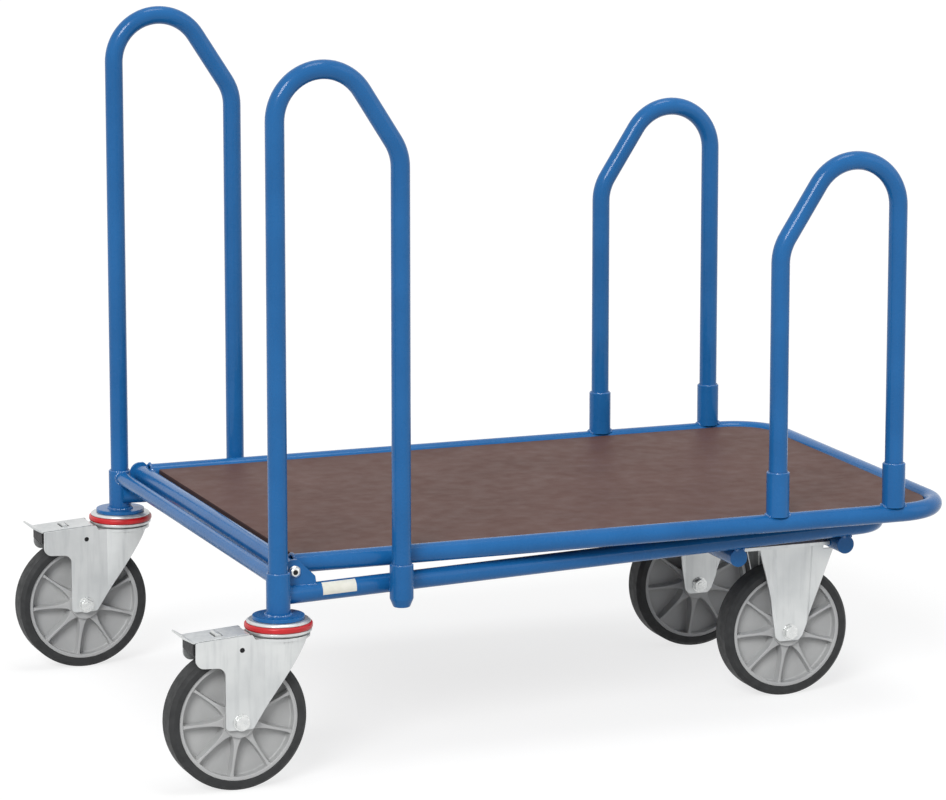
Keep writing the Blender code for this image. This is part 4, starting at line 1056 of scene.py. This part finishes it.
def build_deck_support(name):
    """A flat bar under the deck."""
    start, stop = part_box(name)
    shape = plate(box_corners(start.x, stop.x, start.z, stop.z), 0.0, start.y, stop.y)
    add_piece(name + "_bar", shape, "blue_paint", "platform", name, edge=PLATE_EDGE)


def side_tube_fit(sleeve):
    """What fits a sleeve's foot over its side tube: direction, place, axis and radius."""
    return Z_AXIS, on_axis(sleeve, PLATFORM_Z), X_AXIS, TUBE_D / 2


def build_sleeve(name):
    """A short tube on a side tube, whose foot follows the side tube's back."""
    spots = [on_axis(name, z) for z in (low(name).z, high(name).z)]
    builder = bmesh.new()
    outer_path = [spots[0], spots[1] - Z_AXIS * EDGE_ROUND]
    outer = sweep_rings(builder, outer_path, X_AXIS, SLEEVE_D / 2, TUBE_SIDES)
    lip = sweep_rings(builder, spots, X_AXIS, SLEEVE_D / 2 - EDGE_ROUND, TUBE_SIDES)
    inner = sweep_rings(builder, spots, X_AXIS, TUBE_D / 2 + GAP, TUBE_SIDES)
    for vertex in lip[0]:
        builder.verts.remove(vertex)
    fit = side_tube_fit(name)
    for vertex in outer[0] + inner[0]:
        vertex.co = slide_clear(vertex.co, *fit)
    skin(builder, [inner[0], outer[0], outer[1], lip[1], inner[1]], closed=True)
    add_piece(name + "_round", builder, "blue_paint", "platform", name)


def build_front_hoop(side_name, side):
    """A low hoop, whose slanted side faces the high one."""
    node = "front_hoop_" + side_name
    front = centre("hoop_sleeve_front_" + side_name)
    spacing = front.x - centre("hoop_sleeve_rear_" + side_name).x
    corners = hoop_corners(spacing, high(node).z, low(node).z, low(node).z)
    places = [(front.x - run, side * PLATFORM_Y, z) for run, z in corners]
    shape = tube(rounded(places, HOOP_BEND_R), Y_AXIS, TUBE_D, TUBE_WALL)
    add_piece("low_hoop_" + side_name, shape, "blue_paint", "platform", node)


def build_platform_welds():
    """The beads at every joint of the platform."""
    beads = []
    for side_name, side in SIDES.items():
        start = Vector((HINGE.x + HINGE_TUBE_R / 2, side * PLATFORM_Y, PLATFORM_Z))
        ring = circle(start, Y_AXIS, Z_AXIS, TUBE_D / 2)
        path = [slide_clear(p, *HINGE_FIT) for p in ring]
        beads.append(bead(path, X_AXIS, WELD_R, True))
        for place_name in ("front", "rear"):
            node = "hoop_sleeve_" + place_name + "_" + side_name
            beads.append(seam(on_axis(node, high(node).z)))
            foot = on_axis(node, low(node).z)
            fit = side_tube_fit(node)
            half_arc = SLEEVE_WELD_DEG / 2
            for turn in (0, 180):
                arc = circle(foot, X_AXIS, Y_AXIS, FOOT_WELD_R, turn - half_arc, turn + half_arc)
                path = [slide_clear(p, *fit) for p in arc]
                beads.append(bead(path, Z_AXIS, WELD_R))
        for name in ("front", "middle", "rear"):
            start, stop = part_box("deck_support_" + name)
            y = side * (stop.y - WELD_R / 2)
            for x in (start.x, stop.x):
                line = [Vector((x, y, z)) for z in (start.z, stop.z)]
                beads.append(bead(line, X_AXIS, WELD_R))
    add_piece("platform_welds", merge(bmesh.new(), *beads), "weld_paint", "platform")


# Casters


def hexagon_head(place, start, stop, flats, axis="Y"):
    """A hexagon between two places on an axis, chamfered at its far end."""
    builder = bmesh.new()
    corner_r = flats / math.sqrt(3)
    lean = math.copysign(HEX_CHAMFER / 2, stop - start)
    rows = []
    for radius, along in ((corner_r, start), (corner_r, stop - lean), (flats / 2, stop)):
        row = []
        for side in range(HEX_SIDES):
            angle = 2 * math.pi * side / HEX_SIDES
            sector = math.pi / 3
            inside = (angle - math.pi / 6) % sector - sector / 2
            reach = min(radius, flats / 2 / math.cos(inside))
            across = reach * math.sin(angle - math.pi / 6)
            upright = reach * math.cos(angle - math.pi / 6)
            offset = (across, along, upright) if axis == "Y" else (across, upright, along)
            row.append(builder.verts.new(place + Vector(offset)))
        rows.append(row)
    return capped(builder, rows)


def build_axle(name, body):
    """An axle bolt with a flanged head outside and a nut inside."""
    middle = centre(name)
    side = math.copysign(1, middle.y)
    fork = Vector((middle.x, 0, middle.z))
    ends = sorted((low(name).y, high(name).y), key=lambda y: side * y)
    nut_face = ends[0] + side * HEX_NUT_H
    head_face = ends[1] - side * HEX_HEAD_H
    shape = bar(AXLE_R, ends[0], head_face, fork)
    for face, end in ((head_face, ends[1]), (nut_face, ends[0] + side * THREAD_END)):
        outward = math.copysign(HEX_WASHER_T, end - face)
        collar = box_corners(0, HEX_WASHER_R, face, face + outward)
        merge(shape, turned(collar, [0, 0, EDGE_ROUND / 2, 0], fork, "Y", TUBE_SIDES))
        merge(shape, hexagon_head(fork, face + outward, end, HEX_FLATS))
    add_piece(name + "_bolt", shape, "bolt_steel", body, name, edge=SHEET_EDGE)


def build_kingpin(side_name, side):
    """The bolt that holds a swivel caster to its post."""
    node = "kingpin_" + side_name
    bottom = low(node).z
    top = high(node).z
    place = post_place(side)
    shape = bar(KINGPIN_R, bottom, top, place, "Z")
    merge(shape, hexagon_head(place, bottom + KINGPIN_HEX_H, bottom, KINGPIN_FLATS, "Z"))
    merge(shape, hexagon_head(place, top - KINGPIN_HEX_H, top, KINGPIN_FLATS, "Z"))
    add_piece("king_bolt_" + side_name, shape, "bolt_steel", "chassis", node)


def build_swivel_rings(side_name, side):
    """The upper cup, the red dust ring and the lower race."""
    place = post_place(side)
    body = "swivel_" + side_name
    cup = "swivel_top_cup_" + side_name
    radius = high(cup).y - side * POST_Y
    start, stop = low(cup).z, high(cup).z
    corners = [
        (RACE_BORE_R, start),
        (radius, start),
        (radius, (start + stop) / 2),
        (radius - CUP_TAPER, stop),
        (RACE_BORE_R, stop),
    ]
    radii = [0, EDGE_ROUND, CUP_ROUND, EDGE_ROUND, 0]
    add_turned("top_race_" + side_name, corners, radii, place, "zinc_plate", "chassis", cup)
    ring = "dust_ring_" + side_name
    radius = high(ring).y - side * POST_Y
    corners = box_corners(RACE_BORE_R, radius, low(ring).z, high(ring).z)
    ring_radii = [0, RING_ROUND, RING_ROUND, 0]
    add_turned("red_ring_" + side_name, corners, ring_radii, place, "red_plastic", body, ring)
    race = "swivel_race_" + side_name
    radius = high(race).y - side * POST_Y
    start, stop = low(race).z, high(race).z
    corners = [
        (RACE_BORE_R, start),
        (CROWN_R - RACE_LIP, start),
        (radius, (start + stop) / 2),
        (radius, stop),
        (RACE_BORE_R, stop),
    ]
    add_turned("ball_race_" + side_name, corners, radii, place, "zinc_plate", body, race)


def crown_bulge(x, z, axle_z, crown_z):
    """How far a fork's sheet stands out to follow the round crown, more towards the top."""
    circle_y = math.sqrt(max(CROWN_R**2 - (x - POST_X) ** 2, 0.0))
    share = min(max((z - axle_z) / (crown_z - axle_z), 0.0), 1.0)
    return max(circle_y - FORK_OUTER, 0.0) * share


def build_swivel_fork(side_name, side):
    """The pressed fork of a swivel caster: round crown, creased side plates and arms."""
    node = "swivel_fork_" + side_name
    axle = centre("axle_rear_" + side_name)
    crown_top = low("swivel_race_" + side_name).z - GAP
    crown_low = crown_top - CROWN_T
    arm_top = high(node).z
    arm_end = low(node).x
    toe = low(node).z
    root = axle.x - FORK_LEG_BACK
    corners = [
        (root, toe),
        (axle.x + FORK_LEG_HALF_W, toe),
        (POST_X + FORK_NOSE, crown_low),
        (POST_X + FORK_NOSE, crown_top),
        (POST_X - CROWN_R, crown_top),
        (POST_X - CROWN_R - CROWN_T, arm_top),
        (arm_end, arm_top - ARM_FALL),
        (arm_end, arm_top - ARM_END_DROP),
        (root, arm_top - ARM_ROOT_DROP),
    ]
    radii = [TOE_ROUND, TOE_ROUND, SHEET_ROUND, 0, SHEET_ROUND, SHEET_ROUND, 2 * SHEET_ROUND]
    radii += [ARM_ROUND, ARM_ROUND]
    middle = side * POST_Y
    disc = box_corners(RACE_BORE_R, CROWN_R, crown_low, crown_top)
    shape = turned(disc, [0, 0, CROWN_T / 2, 0], post_place(side))
    for face in (-1, 1):
        sheet = plate(corners, radii, middle + face * FORK_HALF_GAP, middle + face * FORK_OUTER)
        crease = math.sqrt(CROWN_R**2 - FORK_OUTER**2)
        slice_up(sheet, X_AXIS, POST_X - crease, POST_X + crease, FORK_SLICES_X)
        slice_up(sheet, X_AXIS, POST_X - 2 * crease, POST_X, 2)
        slice_up(sheet, Z_AXIS, toe, arm_top, FORK_SLICES_Z)
        for vertex in sheet.verts:
            vertex.co.y += face * crown_bulge(vertex.co.x, vertex.co.z, axle.z, crown_low)
        merge(shape, sheet)
    fork = add_fork("pressed_fork_" + side_name, shape, "swivel_" + side_name, node)
    pivot = pedal_pivot("brake_pedal_" + side_name)
    cut_away(fork, bar(PIVOT_HOLE_R, -2 * FORK_OUTER, 2 * FORK_OUTER, pivot))


def add_fork(name, shape, body, node):
    """A pressed fork, whose slight creases stay sharp."""
    return add_piece(name, shape, "zinc_plate", body, node, edge=SHEET_EDGE, crease_deg=FORK_CREASE_DEG)


def cut_away(piece, builder):
    """Take a closed shape's volume out of a piece, after the piece's own edges are rounded."""
    cutter = place_object("cutter", make_mesh("cutter", builder))
    hole = piece.modifiers.new("hole", "BOOLEAN")
    hole.operation = "DIFFERENCE"
    hole.solver = "EXACT"
    hole.use_self = True
    hole.object = cutter
    bpy.context.view_layer.update()
    evaluated = piece.evaluated_get(bpy.context.evaluated_depsgraph_get())
    cut_mesh = bpy.data.meshes.new_from_object(evaluated)
    piece.modifiers.clear()
    piece.data = cut_mesh
    bpy.data.objects.remove(cutter)


def pedal_pivot(node):
    """The place of a pedal's studs, from the joint in the record."""
    name = node.replace("brake_pedal_", "pedal_") + "_press"
    joint = next(joint for joint in frame["joints"] if joint["name"] == name)
    return Vector(joint["pos_m"])


def build_pedal(side_name, side):
    """The stamped brake pedal with its slots, strap, ears and studs, and the black block; the studs are
    black as painted shade in the pivot holes.
    """
    node = "brake_pedal_" + side_name
    body = "pedal_" + side_name
    block = "brake_block_" + side_name
    middle = side * POST_Y
    block_start, block_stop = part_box(block)
    arm_start, arm_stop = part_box("swivel_fork_" + side_name)
    arm_front = POST_X - CROWN_R - CROWN_T
    slope = ARM_FALL / (arm_front - arm_start.x)

    def top(x):
        return arm_stop.z + slope * (x - arm_front) + PEDAL_LIFT

    start = block_start.x
    stop = high(node).x
    tip_x = start - PEDAL_TIP_REACH
    tip_z = top(start) + PEDAL_TIP_RISE
    corners = [
        (start, top(start) - PEDAL_T),
        (stop, top(stop) - PEDAL_T),
        (stop, top(stop)),
        (start, top(start)),
        (tip_x, tip_z),
        (tip_x - PEDAL_T / 2, tip_z - PEDAL_T),
    ]
    radii = [2 * SHEET_ROUND, 0, 0, SHEET_ROUND, 0, 0]
    shape = plate(corners, radii, middle - PEDAL_HALF_W, middle + PEDAL_HALF_W)
    lever = add_piece("brake_lever_" + side_name, shape, "zinc_plate", body, node, edge=SHEET_EDGE)
    strap_x = (start + stop) / 2
    strap_top = top(strap_x)
    strap_y = (middle - PEDAL_RIB_L / 2, middle + PEDAL_RIB_L / 2)
    slots = bmesh.new()
    for slot_x in (strap_x - PEDAL_SLOT_OFF, strap_x + PEDAL_SLOT_OFF):
        slot = (slot_x - PEDAL_SLOT_HALF_W, slot_x + PEDAL_SLOT_HALF_W)
        corners = box_corners(*slot, strap_top - 2 * PEDAL_T, strap_top + PEDAL_T)
        merge(slots, plate(corners, 0.0, *strap_y))
    cut_away(lever, slots)
    ear_start = start + PEDAL_EAR_INSET
    ear_low = top(stop) - PEDAL_EAR_DROP
    ear = [
        (ear_start, ear_low),
        (stop, ear_low),
        (stop, top(stop) - PEDAL_T / 2),
        (ear_start, top(ear_start) - PEDAL_T / 2),
    ]
    ear_radii = [PEDAL_EAR_ROUND, PEDAL_EAR_ROUND, 0, 0]
    shape = bmesh.new()
    studs = bmesh.new()
    for face in (-1, 1):
        outer = middle + face * PEDAL_HALF_W
        merge(shape, plate(ear, ear_radii, outer - face * PEDAL_EAR_T, outer))
        stud_start = face * (PEDAL_HALF_W - PEDAL_EAR_T)
        stud_end = face * (FORK_OUTER - PEDAL_STUD_SHORT)
        merge(studs, bar(PEDAL_STUD_R, stud_start, stud_end, pedal_pivot(node)))
    strap = (strap_x - PEDAL_RIB_HALF_W, strap_x + PEDAL_RIB_HALF_W)
    corners = box_corners(*strap, strap_top - PEDAL_T, strap_top + PEDAL_RIB_H)
    merge(shape, plate(corners, [0, 0, 2 * SHEET_ROUND, 2 * SHEET_ROUND], *strap_y))
    add_piece("brake_lever_ears_" + side_name, shape, "zinc_plate", body, edge=SHEET_EDGE)
    # The studs are near-black: painted shade of the pivot holes in the fork.
    add_piece("brake_lever_studs_" + side_name, studs, "painted_hole_shade", body)
    corners = [
        (block_start.x, block_start.z),
        (block_stop.x, block_start.z),
        (block_stop.x, top(block_stop.x) - PEDAL_T - GAP),
        (block_start.x, top(block_start.x) - PEDAL_T - GAP),
    ]
    shape = plate(corners, [BLOCK_ROUND, BLOCK_ROUND, 0, 0], block_start.y, block_stop.y)
    add_piece("brake_pad_" + side_name, shape, "black_rubber", body, block, edge=BLOCK_EDGE)


def build_wheel(name):
    """A wheel: tyre, rim with spokes and hub bush."""
    hub = centre("hub_bush_" + name)
    body = name.replace("_", "_wheel_")
    tread_r = hub.z
    seat = tread_r - TYRE_T + GAP
    half_tyre = [(seat, TYRE_HALF_W), (tread_r - SHOULDER_DROP, TYRE_HALF_W), (tread_r, TREAD_HALF_W)]
    corners = half_tyre + [(radius, -y) for radius, y in reversed(half_tyre)]
    radii = [TYRE_ROUND / 2, TYRE_ROUND, TYRE_BEAD_R, TYRE_BEAD_R, TYRE_ROUND, TYRE_ROUND / 2]
    shape = turned(corners, radii, hub, "Y", WHEEL_SIDES)
    add_piece("tyre_round_" + name, shape, "tyre_rubber", body, "tyre_" + name)
    rim_r = tread_r - TYRE_T
    inner_r = rim_r - RIM_WALL
    half_rim = [
        (BUSH_R + GAP, HUB_HALF_W),
        (HUB_R - HUB_TAPER, HUB_HALF_W),
        (HUB_R, RIM_WEB_HALF_T),
        (inner_r + RIM_ROUND, RIM_WEB_HALF_T),
        (inner_r, RIM_HALF_W),
        (rim_r, RIM_HALF_W),
    ]
    corners = half_rim + [(radius, -y) for radius, y in reversed(half_rim)]
    half_radii = [0, RIM_ROUND, 2 * RIM_ROUND, 2 * RIM_ROUND, RIM_ROUND, 0]
    shape = turned(corners, half_radii + half_radii[::-1], hub, "Y", WHEEL_SIDES)
    for spoke in range(SPOKE_COUNT):
        angle = math.radians(SPOKE_PHASE_DEG) + 2 * math.pi * spoke / SPOKE_COUNT
        merge(shape, spoke_shape(hub, angle, rim_r))
    add_piece("rim_spoked_" + name, shape, "rim_plastic", body, "rim_" + name)
    bush = box_corners(AXLE_R + GAP, BUSH_R, -BUSH_HALF_W, BUSH_HALF_W)
    shape = turned(bush, [0, EDGE_ROUND, EDGE_ROUND, 0], hub, "Y", TUBE_SIDES)
    add_piece("bush_round_" + name, shape, "bush_plastic", body, "hub_bush_" + name)


def spoke_shape(hub, angle, rim_r):
    """A spoke through the web: flared at the hub, low and narrow at the rim, with rounded ridges."""
    start = HUB_R - 2 * HUB_TAPER
    stop = rim_r - RIM_WALL / 2
    run = stop - start
    builder = bmesh.new()
    turn = Matrix.Rotation(angle, 4, "Y")
    rows = []
    for share, width_share, height_share in SPOKE_STATIONS:
        radial = start + run * share
        foot_w = SPOKE_HALF_W * width_share
        ridge_w = foot_w - SPOKE_DRAFT
        half_h = SPOKE_HUB_H * height_share
        corners = [(foot_w, 0), (ridge_w, half_h), (-ridge_w, half_h), (-foot_w, 0)]
        half = rounded(corners, [0, SPOKE_DRAFT, SPOKE_DRAFT, 0])
        section = [(p.x, p.y) for p in half] + [(-p.x, -p.y) for p in half[1:-1]]
        rows.append([builder.verts.new(hub + turn @ Vector((radial, y, z))) for z, y in section])
    return capped(builder, rows)


def fixed_creases(axle, top_z):
    """A place on each crease of a fixed fork's legs, with the direction away from the raised panel."""
    rear = Vector((axle.x - FIXED_CREASE_REAR, 0, axle.z))
    front = Vector((axle.x + FIXED_CREASE_FRONT, 0, axle.z))
    upward = Vector((FIXED_CREASE_FRONT_TOP - FIXED_CREASE_FRONT, 0, top_z - axle.z)).normalized()
    return (rear, -X_AXIS), (front, Vector((upward.z, 0, -upward.x)))


def press_flange(leg, face, place, outward):
    """Step a leg's sheet inwards beyond a crease."""
    for run in (0.0, FIXED_CREASE_RUN):
        geometry = leg.verts[:] + leg.edges[:] + leg.faces[:]
        bmesh.ops.bisect_plane(leg, geom=geometry, plane_co=place + outward * run, plane_no=outward)
    for vertex in leg.verts:
        beyond = (vertex.co - place).dot(outward)
        share = min(max(beyond / FIXED_CREASE_RUN, 0.0), 1.0)
        vertex.co.y -= face * FIXED_CREASE_DEPTH * share


def build_fixed_fork(side_name):
    """The pressed fork of a fixed caster: a plate between the cross tubes and two creased legs."""
    node = "fixed_fork_" + side_name
    axle = centre("axle_front_" + side_name)
    start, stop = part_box(node)
    middle = (start.y + stop.y) / 2
    toe = start.z
    fold = stop.z - FIXED_PLATE_T / 2
    plate_start = high("cross_tube_rear").x + GAP
    plate_stop = low("cross_tube_front").x - GAP
    shoulder = low("cross_tube_front").z - GAP
    neck = plate_stop - FIXED_NECK_SETBACK
    corners = [
        (axle.x - FIXED_TOP_REAR, fold),
        (axle.x - FIXED_WAIST_REAR, axle.z + FIXED_WAIST_RISE),
        (axle.x - FIXED_TOE_REAR, toe + FIXED_TOE_CHAMFER),
        (axle.x - FIXED_TOE_REAR + FIXED_TOE_CHAMFER, toe),
        (axle.x + FIXED_TOE_FRONT - FIXED_TOE_CHAMFER, toe),
        (axle.x + FIXED_TOE_FRONT, toe + FIXED_TOE_CHAMFER),
        (axle.x + FIXED_SHOULDER_FRONT, shoulder),
        (neck, shoulder),
        (neck, fold),
    ]
    radii = [0, FIXED_WAIST_ROUND, *[TOE_ROUND] * 4, SHEET_ROUND, 0, 0]
    sheet = box_corners(plate_start, plate_stop, start.y, stop.y)
    shape = plate(sheet, SHEET_ROUND, stop.z - FIXED_PLATE_T, stop.z, "Z")
    for face in (-1, 1):
        leg = plate(corners, radii, middle + face * FORK_HALF_GAP, middle + face * FORK_OUTER)
        for place, outward in fixed_creases(axle, fold):
            press_flange(leg, face, place, outward)
        merge(shape, leg)
    add_fork("fixed_bracket_" + side_name, shape, "chassis", node)


# Stage


def seen_share(tree):
    """1 for the camera's rays and for rays in reflections and glass, 0 for all other light."""
    paths = tree.nodes.new("ShaderNodeLightPath")
    share = paths.outputs["Is Camera Ray"]
    for ray in ("Is Glossy Ray", "Is Transmission Ray"):
        share = arithmetic(tree, "MAXIMUM", share, paths.outputs[ray])
    return share


def build_floor():
    """A wide pale floor that keeps the trolley's soft shadow."""
    corners = circle(Vector(), X_AXIS, Y_AXIS, FLOOR_R)
    mesh = bpy.data.meshes.new("floor")
    mesh.from_pydata(corners, [], [list(range(len(corners)))])
    material, tree, shader = new_material("floor_white", specular=0.0)
    feed(tree, FLOOR_COLOUR, shader.inputs["Base Color"])
    feed(tree, FLOOR_ROUGHNESS, shader.inputs["Roughness"])
    glow = tree.nodes.new("ShaderNodeEmission")
    feed(tree, WHITE, glow.inputs["Color"])
    feed(tree, FLOOR_GLOW, glow.inputs["Strength"])
    mix = tree.nodes.new("ShaderNodeMixShader")
    share = arithmetic(tree, "MULTIPLY", seen_share(tree), FLOOR_WHITE_SHARE)
    surfaces = (share, shader.outputs["BSDF"], glow.outputs["Emission"])
    for value, socket in zip(surfaces, mix.inputs):
        feed(tree, value, socket)
    feed(tree, mix.outputs["Shader"], tree.nodes["Material Output"].inputs["Surface"])
    mesh.materials.append(material)
    place_object("floor", mesh)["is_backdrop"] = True


def build_world():
    """Even surroundings, white where the camera and reflections see them."""
    world = bpy.data.worlds.new("studio")
    bpy.context.scene.world = world
    world.use_nodes = True
    tree = world.node_tree
    background = tree.nodes["Background"]
    feed(tree, WHITE, background.inputs["Color"])
    strength = spread(tree, seen_share(tree), WORLD_STRENGTH, 1.0, 0.0, 1.0)
    feed(tree, strength, background.inputs["Strength"])


def add_lamp(name, direction, strength, angle_deg):
    """A distant lamp with a soft edge to its shadows."""
    data = bpy.data.lights.new(name, "SUN")
    data.energy = strength
    data.angle = math.radians(angle_deg)
    lamp = place_object(name, data)
    lamp.rotation_euler = Vector(direction).to_track_quat("Z", "Y").to_euler()


def build_camera():
    """The camera at the photograph's place and angle."""
    data = bpy.data.cameras.new("camera")
    data.sensor_fit = "HORIZONTAL"
    data.sensor_width = SENSOR_W
    data.lens = FOCAL_PX * SENSOR_W / IMAGE_W
    data.clip_end = 2 * FLOOR_R
    camera = place_object("camera", data)
    camera.location = CAMERA_PLACE
    camera.rotation_euler = (math.radians(CAMERA_PITCH_DEG), 0, math.radians(CAMERA_YAW_DEG))
    bpy.context.scene.camera = camera


def build_studio():
    """Floor, surroundings, lamps and camera."""
    build_floor()
    build_world()
    for lamp in LAMPS:
        add_lamp(*lamp)
    build_camera()
    bpy.context.scene.view_settings.view_transform = "Standard"


def build_trolley():
    """Every piece of the trolley."""
    build_chassis_frame()
    build_rear_crossbar()
    for name in CROSS_TUBES:
        build_cross_tube(name)
    build_card()
    build_chassis_welds()
    build_platform_frame()
    build_hinge_tube()
    build_deck()
    for name in ("front", "middle", "rear"):
        build_deck_support("deck_support_" + name)
    build_platform_welds()
    for side_name, side in SIDES.items():
        build_post(side_name, side)
        build_gusset(side_name)
        build_hoop_socket(side_name)
        build_rear_hoop(side_name, side)
        build_rest_pad(side_name)
        build_hinge_bolt(side_name, side)
        build_kingpin(side_name, side)
        build_swivel_rings(side_name, side)
        build_swivel_fork(side_name, side)
        build_pedal(side_name, side)
        build_axle("axle_rear_" + side_name, "swivel_" + side_name)
        build_wheel("rear_" + side_name)
        build_fixed_fork(side_name)
        build_axle("axle_front_" + side_name, "chassis")
        build_wheel("front_" + side_name)
        build_front_hoop(side_name, side)
        for place_name in ("front", "rear"):
            build_sleeve("hoop_sleeve_" + place_name + "_" + side_name)


build_trolley()
build_studio()

boxes = {"cad": cad_box, "visual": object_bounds()}
{name: [list(corner) for corner in box] for name, box in boxes.items()}
